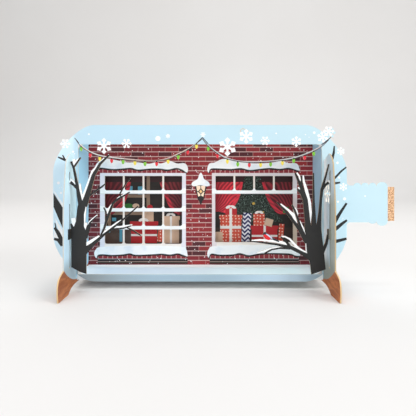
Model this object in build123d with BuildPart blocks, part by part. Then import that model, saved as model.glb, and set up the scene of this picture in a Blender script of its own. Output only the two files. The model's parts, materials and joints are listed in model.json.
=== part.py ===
from build123d import *

import os

# Sheets that the card is cut from, in millimetres
board = 0.8
liner = 0.6
slot_play = 0.1

# Bottle panel: a bottle lying on its side
body_length = 185.0
body_height = 98.6
body_rise = 4.2
body_flat_end = 39.4
shoulder_length = 25.8
shoulder_fullness = 0.4
neck_length = 25.8
neck_height = 23.2
neck_drop = 0.4
lip_length = 7.2
lip_proud = 2.1
lip_corner = 3.2
ridge_count = 3
ridge_length = 4.8
ridge_rise = 1.7
cork_length = 4.1
cork_play = 0.9
neck_bury = 1.0
neck_root_fillet = 2.0
cork_bury = 1.0

# Borders that the picture opening leaves at the ends, foot and top of the bottle's body
end_border = 15.7
foot_border = 4.56
top_border = 12.14
opening_corner = 3.8

# String of lights across the opening
wire_width = 1.0
hook_shift = 1.5
hook_rise = 3.9
end_hook_rise = 3.0
end_hook_reach = 3.0
bulb_width = 1.7
bulb_length = 2.6
bulb_drop = 2.0
wire_samples = 30

# End walls: two cradles on feet, whose crown lies a little below the opening's top
opening_margin = 1.2
wall_front = 23.2
wall_rear = 36.0
crown_drop = 6.46
crown_slope = 4.1
rear_rise = 2.94
rear_corner = 6.0
foot_reach = 10.4
foot_rise = 15.9
foot_length = 18.3
arch_height = 3.7
joint_height = 24.0

# Tree slots, cut-out flake and glue tabs in and on an end wall that is this high
drawn_crown = 84.2
low_slot_bottom = 15.3
low_slot_top = 53.9
high_slot_bottom = 65.9
high_slot_top = 73.1
wall_flake_radius = 6.6
wall_flake_height = 60.0
wall_flake_reach = 8.0
tree_tab_width = 3.0
tree_tab_bottom = 33.0
tree_tab_top = 39.0
stub_root = 1.5
high_stub_bottom = 66.1
high_stub_top = 68.1
stub_proud = 0.6

# Trees, brick front and room sheet between the end walls' front and rear edges
tree_inset = 9.8
room_inset = 1.8
room_depth = 6.0
sheet_drop = 0.7
brick_corner = 1.2
ledge_flap = 3.6
room_bottom = 6.0
ledge_play = 0.2
glue_flap = 4.8
flap_taper = 0.6
flap_gap = 4.0
flap_inset = 10.0
flap_split = 50.0

# Brickwork left round and between the two windows, and the bars between their panes
left_jamb = 11.4
window_pier = 23.3
right_jamb = 13.9
left_window_sill = 14.64
right_window_sill = 15.54
window_lintel = 20.06
column_bar = 1.25
row_bar = 2.4
pane_corner = 1.4
pane_columns = 4
pane_rows = 4
big_pane_growth = 0.2
big_pane_lift = 0.3

# Places that follow from the sizes above
body_x = -(neck_length + cork_length) / 2
body_z = body_rise + body_height / 2
neck_z = body_z - neck_drop
opening_length = body_length - 2 * end_border
opening_height = body_height - foot_border - top_border
opening_z = body_rise + foot_border
opening_top = opening_z + opening_height
wall_inner = opening_length / 2 + opening_margin
wall_crown = opening_top - crown_drop
wall_front_joint = wall_crown - crown_slope
wall_rear_height = opening_top + rear_rise
wall_edge = (wall_front + wall_rear) / 2
panel_y = wall_front - wall_edge
tree_y = tree_inset - wall_edge
room_y = wall_edge - room_inset
brick_y = room_y - room_depth
sheet_top = wall_rear_height - sheet_drop
window_length = (2 * wall_inner - left_jamb - window_pier - right_jamb) / 2
pane_width = (window_length - (pane_columns - 1) * column_bar) / pane_columns
left_window_height = opening_height - left_window_sill - window_lintel
pane_height = (left_window_height - (pane_rows - 1) * row_bar) / pane_rows
drawing_scale = wall_crown / drawn_crown

# Limbs of each tree as (reach from the wall, height, width), root first, as drawn for a wall
# with the crown above. Bark is the drawn limb, and snow is the strip that lies along its upper
# side and widens the cut outline.
left_trunk = [(1.1, 38), (1.1, 16.1), (6.3, 13.2), (10.1, 12.0), (10.2, 38)]
left_bark = [
    [(5.7, 33, 9.2), (6.0, 38, 8.6), (6.5, 43, 5.8), (7.5, 51, 5.0), (7.7, 54.5, 4.6)],
    [(7.0, 52.5, 3.2), (5.9, 57.5, 2.6), (4.9, 63, 2.0), (3.7, 69.5, 1.5), (2.5, 75.5, 1.3), (1, 79.4, 1.2)],
    [(2.6, 76.0, 1.0), (4.5, 78.8, 1.0), (6.6, 81.8, 0.8)],
    [(4.9, 63.0, 1.6), (2.5, 65.4, 1.5), (0.6, 67.1, 1.9)],
    [(8.6, 52.7, 4), (10.6, 58.7, 3.3), (12.4, 64.7, 2.7), (14.3, 71, 2.2), (18.4, 78.2, 1.5), (24, 83.4, 0.8)],
    [(12.0, 59.0, 0.9), (16.5, 62.3, 0.9), (19.3, 64.2, 1.0), (21.2, 65.8, 0.7)],
    [(2.9, 36.5, 3.0), (1.0, 42.2, 0.9)],
    [(9.6, 33.5, 2.4), (11.0, 39.5, 1.8), (12.2, 43.2, 1.3), (16.4, 47.0, 0.7)],
    [(8.0, 25.8, 5.8), (13.6, 30.2, 2.8), (20.8, 35.8, 1.5), (30.4, 43.1, 1.1), (41.2, 52.7, 0.7)],
    [(24.4, 38.3, 1.1), (28.0, 39.1, 1.0), (32.2, 39.4, 0.9), (37.0, 40.9, 0.7)],
    [(34.4, 39.8, 0.8), (38.2, 38.0, 0.8), (42.7, 35.0, 0.7)],
    [(18.6, 34.6, 1.1), (20.8, 39.5, 1.2), (22.5, 45, 1.7), (25.9, 54.2, 1.2), (28, 56.3, 1.2), (36, 61, 0.8)],
    [(31.0, 57.5, 0.8), (30.3, 60.3, 0.8), (33.7, 66.2, 0.7), (36.4, 69.3, 0.6)],
    [(22.3, 47.5, 1.0), (21.2, 50.6, 0.8), (20.5, 51.8, 0.7)],
]
left_snow = [
    [(7.6, 54.4, 1.0), (7.0, 58.1, 2.0), (6.6, 62.3, 1.3), (6.2, 66.2, 0.9)],
    [(7.9, 54.4, 1.0), (8.5, 58.7, 1.7), (12.2, 69.5, 1.1), (13.6, 73.4, 1.2), (20.8, 81.5, 0.8)],
    [(4.0, 65.0, 0.8), (2.2, 67.4, 1.5), (0.6, 69.0, 0.8)],
    [(2.7, 76.4, 0.8), (2.9, 79.4, 1.8), (2.5, 80.8, 1.6)],
    [(3.1, 78.3, 1.0), (5.5, 81.2, 0.9)],
    [(2.8, 38.5, 0.8), (2.5, 43.1, 2.4), (2.3, 45.5, 2.6)],
    [(9.6, 37.0, 0.8), (9.5, 40.7, 1.6), (9.5, 42.8, 2.3)],
    [(12.7, 42.9, 0.8), (13.6, 44.6, 1.2), (16.7, 47.4, 0.6)],
    [(9.4, 27.4, 0.8), (10.6, 30.2, 1.9), (17.8, 34.8, 0.9)],
    [(19.6, 35.6, 0.8), (22.0, 37.8, 1.3), (28.6, 42.8, 1.0), (31.0, 44.2, 0.8)],
    [(27.4, 39.4, 0.8), (31.0, 40.4, 0.9), (37.6, 41.5, 0.6)],
    [(28.0, 56.4, 0.8), (29.5, 57.7, 1.1), (34.9, 60.8, 0.8)],
    [(22.9, 47.0, 0.8), (23.3, 50.3, 1.7), (25.7, 54.2, 0.8)],
]
right_trunk = [
    (2.5, 14.8), (4.3, 14.1), (7.2, 13.0), (11.1, 11.7), (11.8, 17.9), (14.5, 26.3), (14.9, 40),
    (5.3, 40), (3.6, 25.7),
]
right_bark = [
    [(12.9, 37, 4.2), (13.3, 43, 3.3), (14.7, 56.3, 3), (16.2, 60.5, 3.1), (17.1, 64.1, 2), (20.8, 72.6, 0.9)],
    [(16.8, 63.0, 1.2), (16.9, 68.3, 1.0), (16.9, 71.0, 0.8)],
    [(16.6, 60.0, 1.8), (18.9, 62.3, 1.4), (19.4, 63.0, 0.9)],
    [(9.6, 38.0, 4.2), (9.6, 43.0, 2.8), (9.7, 56.3, 1.3), (9.7, 63.5, 0.9), (9.8, 72.5, 0.7)],
    [(6.9, 38, 3.2), (5.9, 49.1, 1.7), (5.4, 56.3, 1.5), (4.8, 62.3, 1.7), (2.4, 70.7, 1.1), (0.6, 77.8, 0.7)],
    [(4.9, 62.5, 1.8), (2.4, 65.6, 1.4), (0.6, 66.8, 1.5)],
    [(13.4, 31.0, 3.4), (18.0, 38.6, 2.2), (25.2, 48.2, 1.3), (31.5, 55.1, 0.8)],
    [(15.6, 35.6, 1.8), (17.7, 40.7, 1.4), (21.0, 50.3, 1.1), (22.7, 53.3, 0.8)],
    [(11.0, 21.6, 4.4), (16.2, 24.9, 2.8), (23.4, 28.1, 2.5), (31.8, 29.7, 1.2), (46.6, 31.6, 0.7)],
    [(24.0, 28.4, 1.8), (26.1, 31.4, 1.4), (29.4, 34.3, 0.8)],
    [(23.6, 27.2, 1.2), (30.0, 27.5, 1.0), (34.8, 26.7, 0.9), (39.1, 24.2, 0.8)],
    [(4.6, 24.6, 2.2), (2.1, 30.2, 1.7), (1.0, 35.5, 1.4)],
]
right_snow = [
    [
        (12.1, 41.0, 0.8), (11.5, 48.5, 1.4), (12.3, 55.1, 1.9), (14.1, 62.3, 1.8), (15.7, 67.7, 1.2),
        (16.0, 71.1, 0.8),
    ],
    [(17.7, 67.8, 0.8), (18.4, 70.7, 1.0), (19.8, 72.7, 0.9)],
    [(18.0, 62.8, 0.8), (19.0, 64.0, 0.9)],
    [(19.9, 42.3, 0.8), (21.9, 47.3, 2.0), (24.9, 50.3, 1.2), (29.5, 54.0, 0.8)],
    [(19.4, 47.0, 0.8), (19.8, 49.7, 1.0), (21.1, 51.8, 0.8)],
    [(15.3, 35.4, 0.8), (15.9, 38.9, 1.2), (18.1, 43.8, 0.8)],
    [(13.6, 24.2, 1.0), (19.2, 27.6, 1.5), (24.0, 32.9, 1.1), (26.7, 34.3, 0.9), (29.1, 34.6, 0.8)],
    [(25.0, 29.4, 0.8), (28.2, 30.8, 1.5), (32.4, 31.7, 1.4), (42.0, 32.4, 1.1), (46.8, 32.1, 0.7)],
    [(30.0, 28.2, 0.8), (34.8, 27.5, 0.8), (43.8, 24.4, 0.7)],
]
bird_place = (37.2, 34.4)
bird_length = 5.0
bird_depth = 3.0
bird_tail = 5.4

# Swags of the string of lights as (share of the span, drop below the opening's top)
left_swag = [(0.05, 1.8), (0.17, 6.8), (0.35, 9.0), (0.51, 10.2), (0.70, 9.6), (0.81, 6.1), (0.90, 2.4)]
right_swag = [
    (0.05, 1.1), (0.12, 5.5), (0.20, 9.0), (0.39, 11.2), (0.65, 9.7), (0.77, 7.6), (0.87, 4.5), (0.94, 1.4),
]
left_bulbs = [0.058, 0.139, 0.212, 0.299, 0.382, 0.468, 0.541, 0.625, 0.710, 0.790, 0.867, 0.943]
right_bulbs = [0.068, 0.153, 0.234, 0.311, 0.394, 0.475, 0.547, 0.632, 0.714, 0.796, 0.867]

# Edge of an end wall: the foot as shares of its reach and rise, then the shoulder and the
# crown as (distance from the wall's front edge, share of the crown's height), and the arch
# as (distance from the heel, share of the arch's height)
foot_curve = [(0.12, 0), (0, 0.39), (0.19, 0.77), (0.6, 0.91), (1, 1)]
shoulder_curve = [(0, 0.6), (1.35, 0.75), (2.5, 0.83), (4.1, 0.925)]
crown_curve = [(4.1, 0.925), (6.1, 0.96), (12.3, 1)]
arch_curve = [(0, 0), (3.4, 0.49), (5.9, 0.72)]

# Cut-out snowflakes on the opening's top edge as (share of the way from its middle to an end,
# height over the edge, radius, turn in degrees), and on the upper shoulders as (side, share of
# the shoulder's curve, distance out from it, radius, turn)
edge_flakes = [
    (-0.788, -1.1, 5.0, 30), (-0.603, 0.5, 3.3, 0), (0.225, -1.6, 5.9, 30), (0.79, 1.7, 3.4, 30),
]
shoulder_flakes = [(-1, 0.46, 0.0, 3.2, 0), (1, 0.63, 2.9, 3.5, 0), (1, 0.33, 0.6, 2.6, 30)]

# Shape of a snowflake in shares of its radius: the head of a spoke as (along, across)
flake_hub = 0.22
flake_spoke = 0.2
flake_bury = 0.4
flake_head = [(0.4, 0), (0.7, -0.3), (1, 0), (0.7, 0.3)]


def strip(limb):
    """Outline of a limb that tapers through its points, with square ends."""
    sides = [[], []]
    for index, (x, z, width) in enumerate(limb):
        before = Vector(*limb[max(index - 1, 0)][:2])
        after = Vector(*limb[min(index + 1, len(limb) - 1)][:2])
        across = (after - before).normalized().rotate(Axis.Z, 90) * (width / 2)
        sides[0].append(Vector(x, z) + across)
        sides[1].append(Vector(x, z) - across)
    return sides[1] + sides[0][::-1]


def add_limbs(limbs):
    for limb in limbs:
        Polygon(*strip(limb), align=None)


def snowflake(radius, turn, mode=Mode.ADD):
    """Six spokes with a kite-shaped head on each, about the point where it is placed."""
    with BuildSketch(Plane.XY) as flake:
        RegularPolygon(flake_hub * radius, 6)
        for angle in range(turn, turn + 360, 60):
            with Locations(Vector(radius * flake_head[0][0], 0).rotate(Axis.Z, angle) / 2):
                Rectangle(radius * flake_head[0][0] + flake_bury, flake_spoke * radius, rotation=angle)
            head = [Vector(along, across).rotate(Axis.Z, angle) * radius for along, across in flake_head]
            Polygon(*head, align=None)
    add(flake.sketch, mode=mode)


def add_swag(start, end, drops, bulbs):
    """A swag from hook to hook, with bulbs that hang straight down at their shares of it."""
    low = [Vector(start.X + share * (end.X - start.X), opening_top - drop) for share, drop in drops]
    wire = Spline(start, *low, end, mode=Mode.PRIVATE)
    steps = [wire @ (k / wire_samples) for k in range(wire_samples + 1)]
    Polygon(*strip([(point.X, point.Y, wire_width) for point in steps]), align=None)
    for share in bulbs:
        hook = wire @ share
        with Locations((hook.X, hook.Y - bulb_drop)):
            Ellipse(bulb_width / 2, bulb_length / 2)
        with Locations((hook.X, hook.Y - bulb_drop / 2)):
            Rectangle(bulb_width * 0.42, bulb_drop)


def shoulder_points(side, rise):
    """Control points of one shoulder, from the body's end to its long side."""
    end, top = side * body_length / 2, rise * body_height / 2
    shoulder_height = rise * (body_height - body_flat_end) / 2
    curve = [
        (end, top - shoulder_height),
        (end, top - shoulder_height * (1 - shoulder_fullness)),
        (end - side * shoulder_length * (1 - shoulder_fullness), top),
        (end - side * shoulder_length, top),
    ]
    return [Vector(body_x + x, body_z + z) for x, z in curve]


def shoulder_place(side, share, reach):
    """A point at a share of an upper shoulder's curve, some distance out from it."""
    curve = Bezier(*shoulder_points(side, 1), mode=Mode.PRIVATE)
    outwards = (curve % share).rotate(Axis.Z, -90 * side)
    return (curve @ share) + outwards * reach


def bottle_body():
    """Body with sloping shoulders, counterclockwise from the lower right one."""
    corners = [(1, -1), (1, 1), (-1, 1), (-1, -1)]
    with BuildSketch(Plane.XY) as body:
        with BuildLine():
            arcs = []
            for side, rise in corners:
                curve = shoulder_points(side, rise)
                arcs.append(Bezier(*(curve if side * rise > 0 else curve[::-1])))
            for first, second in zip(arcs, arcs[1:] + arcs[:1]):
                Line(first @ 1, second @ 0)
        make_face()
    return body.sketch


def bottle_neck():
    """Neck with thread ridges on its upper side, the lip, and the cork in its mouth."""
    root = body_x + body_length / 2
    lip_start = root + neck_length - lip_length
    lip_end = root + neck_length
    top = neck_z + neck_height / 2
    ridges_start = lip_start - ridge_count * ridge_length
    bottom = top - neck_height
    with BuildSketch(Plane.XY) as neck:
        with Locations(((root - neck_bury + lip_start) / 2, neck_z)):
            Rectangle(lip_start - root + neck_bury, neck_height)
        with BuildLine():
            base = top - ridge_rise
            Polyline((ridges_start, top), (ridges_start, base), (lip_start, base), (lip_start, top))
            for k in range(ridge_count):
                left = ridges_start + k * ridge_length
                middle = (left + ridge_length / 2, top + ridge_rise)
                ThreePointArc((left, top), middle, (left + ridge_length, top))
        make_face()
        with BuildLine():
            Line((lip_start - ridge_length, bottom), (lip_start, bottom))
            middle = (lip_start - ridge_length / 2, bottom - ridge_rise / 2)
            ThreePointArc((lip_start - ridge_length, bottom), middle, (lip_start, bottom))
        make_face()
        with Locations(((lip_start + lip_end) / 2, neck_z)):
            RectangleRounded(lip_length, neck_height + 2 * lip_proud, lip_corner)
        with Locations((lip_end + (cork_length - cork_bury) / 2, neck_z)):
            Rectangle(cork_length + cork_bury, neck_height - 2 * cork_play)
    return neck.sketch


def build_bottle_panel():
    with BuildPart() as panel:
        with BuildSketch(Plane.XZ.offset(-panel_y)) as face:
            add(bottle_body())
            add(bottle_neck())
            roots = [(body_x + body_length / 2, neck_z + rise * neck_height / 2) for rise in (-1, 1)]
            fillet([face.vertices().sort_by_distance(root)[0] for root in roots], neck_root_fillet)
            with Locations((body_x, opening_z + opening_height / 2)):
                RectangleRounded(opening_length, opening_height, opening_corner, mode=Mode.SUBTRACT)
            hooks = [
                Vector(body_x - wall_inner, opening_top + end_hook_rise),
                Vector(body_x + hook_shift, opening_top + hook_rise),
                Vector(body_x + wall_inner + end_hook_reach, opening_top + end_hook_rise),
            ]
            add_swag(hooks[0], hooks[1], left_swag, left_bulbs)
            add_swag(hooks[1], hooks[2], right_swag, right_bulbs)
            for share, rise, radius, turn in edge_flakes:
                with Locations((body_x + share * opening_length / 2, opening_top + rise)):
                    snowflake(radius, turn)
            for side, share, reach, radius, turn in shoulder_flakes:
                with Locations(shoulder_place(side, share, reach)):
                    snowflake(radius, turn)
            slot_width = board + 2 * slot_play
            with Locations(
                (body_x - wall_inner - board / 2, joint_height / 2),
                (body_x + wall_inner + board / 2, joint_height / 2),
            ):
                Rectangle(slot_width, joint_height, mode=Mode.SUBTRACT)
        extrude(amount=-board)
    panel.part.label = "bottle_panel"
    return panel


def wall_profile():
    """Round-shouldered end of the bottle, on a cradle whose feet turn out to the ground."""
    tip = wall_edge + foot_reach
    heel = tip - foot_length
    with BuildSketch(Plane.XY) as profile:
        with BuildLine():
            # front foot, then up the front edge to the crown and back to the bottle panel
            Spline(*[(-tip + foot_reach * inset, foot_rise * rise) for inset, rise in foot_curve])
            Line((-wall_edge, foot_rise), (-wall_edge, shoulder_curve[0][1] * wall_crown))
            Spline(*[(-wall_edge + inset, wall_crown * rise) for inset, rise in shoulder_curve])
            Spline(*[(-wall_edge + inset, wall_crown * rise) for inset, rise in crown_curve])
            Line((crown_curve[-1][0] - wall_edge, wall_crown), (panel_y, wall_front_joint))
            # behind the bottle panel, across the top and down the rear edge
            Line((panel_y, wall_front_joint), (panel_y, wall_rear_height))
            Line((panel_y, wall_rear_height), (wall_edge - rear_corner, wall_rear_height))
            ThreePointArc(
                (wall_edge - rear_corner, wall_rear_height),
                (wall_edge - rear_corner * 0.293, wall_rear_height - rear_corner * 0.293),
                (wall_edge, wall_rear_height - rear_corner),
            )
            Line((wall_edge, wall_rear_height - rear_corner), (wall_edge, foot_rise))
            Spline(*[(tip - foot_reach * inset, foot_rise * rise) for inset, rise in foot_curve[::-1]])
            # under the feet and the low arch between them
            toe = tip - foot_reach * foot_curve[0][0]
            Line((toe, 0), (heel, 0))
            arch = [(heel - inset, arch_height * rise) for inset, rise in arch_curve]
            Spline(*arch, (0, arch_height), *[(-y, z) for y, z in arch[::-1]])
            Line((-heel, 0), (-toe, 0))
        make_face()
    return profile.sketch


def build_end_wall(name, side):
    """side is -1 for the left wall and 1 for the right one, which has the cut-out flake."""
    slot_width = board + 2 * slot_play
    with BuildPart() as wall:
        with BuildSketch(Plane.YZ.offset(body_x + side * wall_inner)):
            add(wall_profile())
            notch_height = wall_rear_height - joint_height
            with Locations((panel_y + board / 2, joint_height + notch_height / 2)):
                Rectangle(slot_width, notch_height, mode=Mode.SUBTRACT)
            for bottom, top in ((low_slot_bottom, low_slot_top), (high_slot_bottom, high_slot_top)):
                with Locations((tree_y + board / 2, (bottom + top) / 2 * drawing_scale)):
                    Rectangle(slot_width, (top - bottom) * drawing_scale, mode=Mode.SUBTRACT)
            if side > 0:
                with Locations((panel_y - wall_flake_reach, wall_flake_height * drawing_scale)):
                    snowflake(wall_flake_radius, 0, mode=Mode.SUBTRACT)
        extrude(amount=side * board)
    wall.part.label = name
    return wall


def drawn(points):
    """Points of the trees' drawing, at the size that suits the wall."""
    return [tuple(value * drawing_scale for value in point) for point in points]


def build_tree(name, side, trunk, limbs):
    """A tree cut from board, drawn outward from the wall that carries it."""
    tab_z = (tree_tab_bottom + tree_tab_top) / 2 * drawing_scale
    tab_height = (tree_tab_top - tree_tab_bottom) * drawing_scale
    face = Plane(
        origin=(body_x + side * wall_inner, tree_y, 0), x_dir=(-side, 0, 0), z_dir=(0, side, 0)
    )
    with BuildPart() as tree:
        with BuildSketch(face):
            Polygon(*drawn(trunk), align=None)
            add_limbs([drawn(limb) for limb in limbs])
            # stubs through both slots
            for bottom, top in ((tree_tab_bottom, tree_tab_top), (high_stub_bottom, high_stub_top)):
                with Locations(((stub_root - board - stub_proud) / 2, (bottom + top) / 2 * drawing_scale)):
                    Rectangle(stub_root + board + stub_proud, (top - bottom) * drawing_scale)
            if side > 0:
                add_bird()
        extrude(amount=side * board)
        # glue tab, folded forward along the wall
        with BuildSketch(Plane.YZ.offset(body_x + side * wall_inner)):
            with Locations((tree_y + (board - tree_tab_width) / 2, tab_z)):
                Rectangle(tree_tab_width + board, tab_height)
        extrude(amount=-side * board)
    tree.part.label = name
    return tree


def add_bird():
    """A small bird on the lowest branch, facing away from the trunk."""
    x, z = (value * drawing_scale for value in bird_place)
    with Locations((x, z)):
        Ellipse(bird_length / 2, bird_depth / 2, rotation=35)
    with Locations((x + 0.3 * bird_length, z + 0.45 * bird_depth)):
        Circle(0.45 * bird_depth)
    tail_tip = (x - 0.35 * bird_length - bird_tail, z - 0.9 * bird_depth)
    tail_heel = (tail_tip[0] + 0.2 * bird_depth, tail_tip[1] - 0.2 * bird_depth)
    back, belly = (x, z + 0.3 * bird_depth), (x - 0.2 * bird_length, z - 0.4 * bird_depth)
    Polygon(back, tail_tip, tail_heel, belly, align=None)


def cut_panes(left, bottom, width, height, rows):
    """Rows of panes with square upper corners and rounded lower ones, where snow lies."""
    for column in range(pane_columns):
        for row in range(rows):
            x = body_x + left + column * (width + column_bar) + width / 2
            z = bottom + row * (height + row_bar) + height / 2
            with Locations((x, z)):
                RectangleRounded(width, height, pane_corner, mode=Mode.SUBTRACT)
            with Locations((x, z + height / 4)):
                Rectangle(width, height / 2, mode=Mode.SUBTRACT)


def flap_shape(fold_y, reach, bottom, top):
    """Tapered glue flap that lies along an end wall, from the fold at fold_y."""
    taper = abs(reach) * flap_taper
    return [(fold_y, bottom), (fold_y + reach, bottom + taper), (fold_y + reach, top - taper), (fold_y, top)]


def build_brick_front():
    """One folded sheet: the front with its windows, the ledge, its glue flap and two side flaps."""
    sheet_length = 2 * wall_inner
    ledge_z = opening_z - liner
    with BuildPart() as brick:
        with BuildSketch(Plane.XZ.offset(-brick_y)):
            with Locations((body_x, (ledge_z + sheet_top) / 2)):
                RectangleRounded(sheet_length, sheet_top - ledge_z, brick_corner)
            left_bottom = opening_z + left_window_sill
            cut_panes(left_jamb - wall_inner, left_bottom, pane_width, pane_height, pane_rows)
            # right window: one row of panes over a big one
            top_left = wall_inner - right_jamb - window_length
            top_bottom = opening_top - window_lintel - pane_height
            cut_panes(top_left, top_bottom, pane_width, pane_height, 1)
            big_bottom = opening_z + right_window_sill + big_pane_lift
            big_height = top_bottom - row_bar - big_bottom
            big_length = window_length + 2 * big_pane_growth
            with Locations((body_x + top_left + window_length / 2, big_bottom + big_height / 2)):
                Rectangle(big_length, big_height, mode=Mode.SUBTRACT)
        extrude(amount=-liner)
        with BuildSketch(Plane.YZ.offset(body_x - wall_inner + ledge_play)):
            panel_back = panel_y + board
            with Locations(((panel_back + brick_y + liner) / 2, ledge_z + liner / 2)):
                Rectangle(brick_y + liner - panel_back, liner)
            with Locations((panel_back + liner / 2, opening_z - ledge_flap / 2)):
                Rectangle(liner, ledge_flap)
        extrude(amount=sheet_length - 2 * ledge_play)
        for side in (-1, 1):
            with BuildSketch(Plane.YZ.offset(body_x + side * wall_inner)):
                outline = flap_shape(brick_y, liner + glue_flap, flap_split, sheet_top - flap_inset)
                Polygon(*outline, align=None)
            extrude(amount=-side * liner)
    brick.part.label = "brick_front"
    return brick


def build_room_sheet():
    """Back sheet between the end walls, with flaps that fold forward below those of the front."""
    with BuildPart() as room:
        with BuildSketch(Plane.XZ.offset(-room_y)):
            with Locations((body_x, (room_bottom + sheet_top) / 2)):
                RectangleRounded(2 * wall_inner, sheet_top - room_bottom, brick_corner)
        extrude(amount=-liner)
        for side in (-1, 1):
            with BuildSketch(Plane.YZ.offset(body_x + side * wall_inner)):
                outline = flap_shape(room_y + liner, -liner - glue_flap, flap_inset, flap_split - flap_gap)
                Polygon(*outline[::-1], align=None)
            extrude(amount=-side * liner)
    room.part.label = "room_sheet"
    return room


pieces = [
    build_bottle_panel(),
    build_end_wall("left_end_wall", -1),
    build_end_wall("right_end_wall", 1),
    build_tree("left_tree", -1, left_trunk, left_bark + left_snow),
    build_tree("right_tree", 1, right_trunk, right_bark + right_snow),
    build_brick_front(),
    build_room_sheet(),
]

os.makedirs("parts", exist_ok=True)
for piece in pieces:
    export_step(piece.part, f"parts/{piece.part.label}.step")
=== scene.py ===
import json
import math

import bmesh
import bpy
import numpy as np
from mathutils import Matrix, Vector

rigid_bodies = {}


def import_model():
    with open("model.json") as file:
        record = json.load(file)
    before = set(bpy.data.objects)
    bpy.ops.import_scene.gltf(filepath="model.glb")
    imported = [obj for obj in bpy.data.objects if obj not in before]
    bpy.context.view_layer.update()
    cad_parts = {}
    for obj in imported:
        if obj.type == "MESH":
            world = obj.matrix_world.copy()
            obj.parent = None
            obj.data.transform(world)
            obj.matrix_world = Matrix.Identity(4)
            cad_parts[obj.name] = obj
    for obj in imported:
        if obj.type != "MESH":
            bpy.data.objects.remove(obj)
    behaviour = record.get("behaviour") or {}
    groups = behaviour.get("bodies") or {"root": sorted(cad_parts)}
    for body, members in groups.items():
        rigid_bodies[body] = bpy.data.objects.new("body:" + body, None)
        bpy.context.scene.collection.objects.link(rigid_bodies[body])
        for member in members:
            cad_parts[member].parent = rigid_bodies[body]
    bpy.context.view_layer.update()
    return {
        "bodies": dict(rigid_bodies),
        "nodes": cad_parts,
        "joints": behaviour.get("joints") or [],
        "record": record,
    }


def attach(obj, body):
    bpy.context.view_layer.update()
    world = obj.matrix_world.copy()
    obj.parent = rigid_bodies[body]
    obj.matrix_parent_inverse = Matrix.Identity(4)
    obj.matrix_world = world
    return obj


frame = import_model()

# Places in the card, in millimetres. Shapes are drawn in the plane of a sheet as (x, z): x from
# the middle of the bottle's body, towards the neck, and z from the ground.
MM = 0.001
BODY_X = -14.95
PANEL_Y = -6.4
TREE_Y = -19.8
BRICK_Y = 21.8
ROOM_Y = 27.8
FACE_Y = {"panel_board": PANEL_Y, "tree_board": TREE_Y, "brick_board": BRICK_Y, "room_board": ROOM_Y}
WALL_X = 78.0
OPENING = (-76.8, 76.8, 8.76, 90.66)
CORK_X = 118.3
WALL_REACH = 29.6
FOOT_TOP = 16.0
BORDER_LOW, BORDER_RISE, BORDER_CURVE = 5.6, 10.3, 2.2
SLOT_TOP = 74.0
COURSE = 3.283
COURSE_START = 2.056
BRICK_LENGTH = 9.4
BRICK_START = -1.18
BRICK_ON_END = 3.4
HALF_JOINT = 0.26
JAMB = 3.2
FRAME_RISE = (19, 72.7)
CAMERA_AT = (-10.98, -277.4, 71.3)

# Prints stand proud of a sheet by their layer and by their place in the list, and reach into it
LAYER_PROUD, SHAPE_PROUD, PRINT_SUNK = 0.012, 0.0004, 0.05

# Windows as (left, right, rails), with each rail's bottom and top
WINDOWS = [
    (-70.0, -10.2, [(33.4, 35.8), (45.8, 48.2), (58.2, 60.6)]),
    (7.9, 67.1, [(58.2, 60.6)]),
]


# Colours and materials


def ink(red, green, blue):
    """A printed colour, given as it looks on screen from 0 to 255, as Blender's linear one."""
    channels = []
    for value in (red, green, blue):
        v = value / 255
        channels.append(v / 12.92 if v <= 0.04045 else ((v + 0.055) / 1.055) ** 2.4)
    return (*channels, 1.0)


SNOW_WHITE = ink(250, 252, 253)
SNOW_BLUE = ink(232, 240, 247)
BARK_BLACK = ink(38, 38, 38)
CUT_TAN = ink(222, 190, 142)
CUT_CREAM = ink(226, 218, 200)
SLOT_SHADE_EDGE = ink(84, 90, 92)
CARD_BACK = ink(232, 232, 228)
GLASS_BLUE = ink(191, 222, 238)
GLASS_PALE = ink(197, 225, 235)


class Nodes:
    """Adds nodes to a tree and joins them, so that a material reads from top to bottom."""

    def __init__(self, tree):
        self.tree = tree

    def add(self, kind, inputs=(), **settings):
        node = self.tree.nodes.new(kind)
        for key, value in settings.items():
            setattr(node, key, value)
        for key, value in dict(inputs).items():
            if isinstance(value, bpy.types.NodeSocket):
                self.link(value, node.inputs[key])
            else:
                node.inputs[key].default_value = value
        return node

    def link(self, value, socket):
        self.tree.links.new(value, socket)

    def first(self, kind, inputs=(), **settings):
        """Adds a node and gives its first output."""
        return self.add(kind, inputs, **settings).outputs[0]

    def math(self, operation, a, b=0.0, c=0.0):
        return self.first("ShaderNodeMath", {0: a, 1: b, 2: c}, operation=operation)

    def times(self, a, b):
        return self.math("MULTIPLY", a, b)

    def over(self, value, limit):
        return self.math("GREATER_THAN", value, limit)

    def under(self, value, limit):
        return self.math("LESS_THAN", value, limit)

    def vector(self, x=0.0, y=0.0, z=0.0):
        return self.first("ShaderNodeCombineXYZ", {0: x, 1: y, 2: z})

    def place(self):
        return self.add("ShaderNodeTexCoord").outputs["Object"]

    def noise(self, place, scale, detail=2.0, distortion=0.0):
        inputs = {"Vector": place, "Scale": scale, "Detail": detail, "Distortion": distortion}
        return self.add("ShaderNodeTexNoise", inputs).outputs["Fac"]

    def mix(self, factor, a, b, blend="MIX"):
        node = self.add("ShaderNodeMix", {0: factor, 6: a, 7: b}, data_type="RGBA", blend_type=blend)
        return node.outputs[2]


def new_group(name, inputs, outputs):
    """An empty shader node group with named sockets, and its node adder, inputs and outputs."""
    tree = bpy.data.node_groups.new(name, "ShaderNodeTree")
    for socket, (kind, default) in inputs.items():
        made = tree.interface.new_socket(socket, in_out="INPUT", socket_type=kind)
        made.default_value = default
    for socket, kind in outputs.items():
        tree.interface.new_socket(socket, in_out="OUTPUT", socket_type=kind)
    nodes = Nodes(tree)
    return tree, nodes, nodes.add("NodeGroupInput").outputs, nodes.add("NodeGroupOutput")


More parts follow.
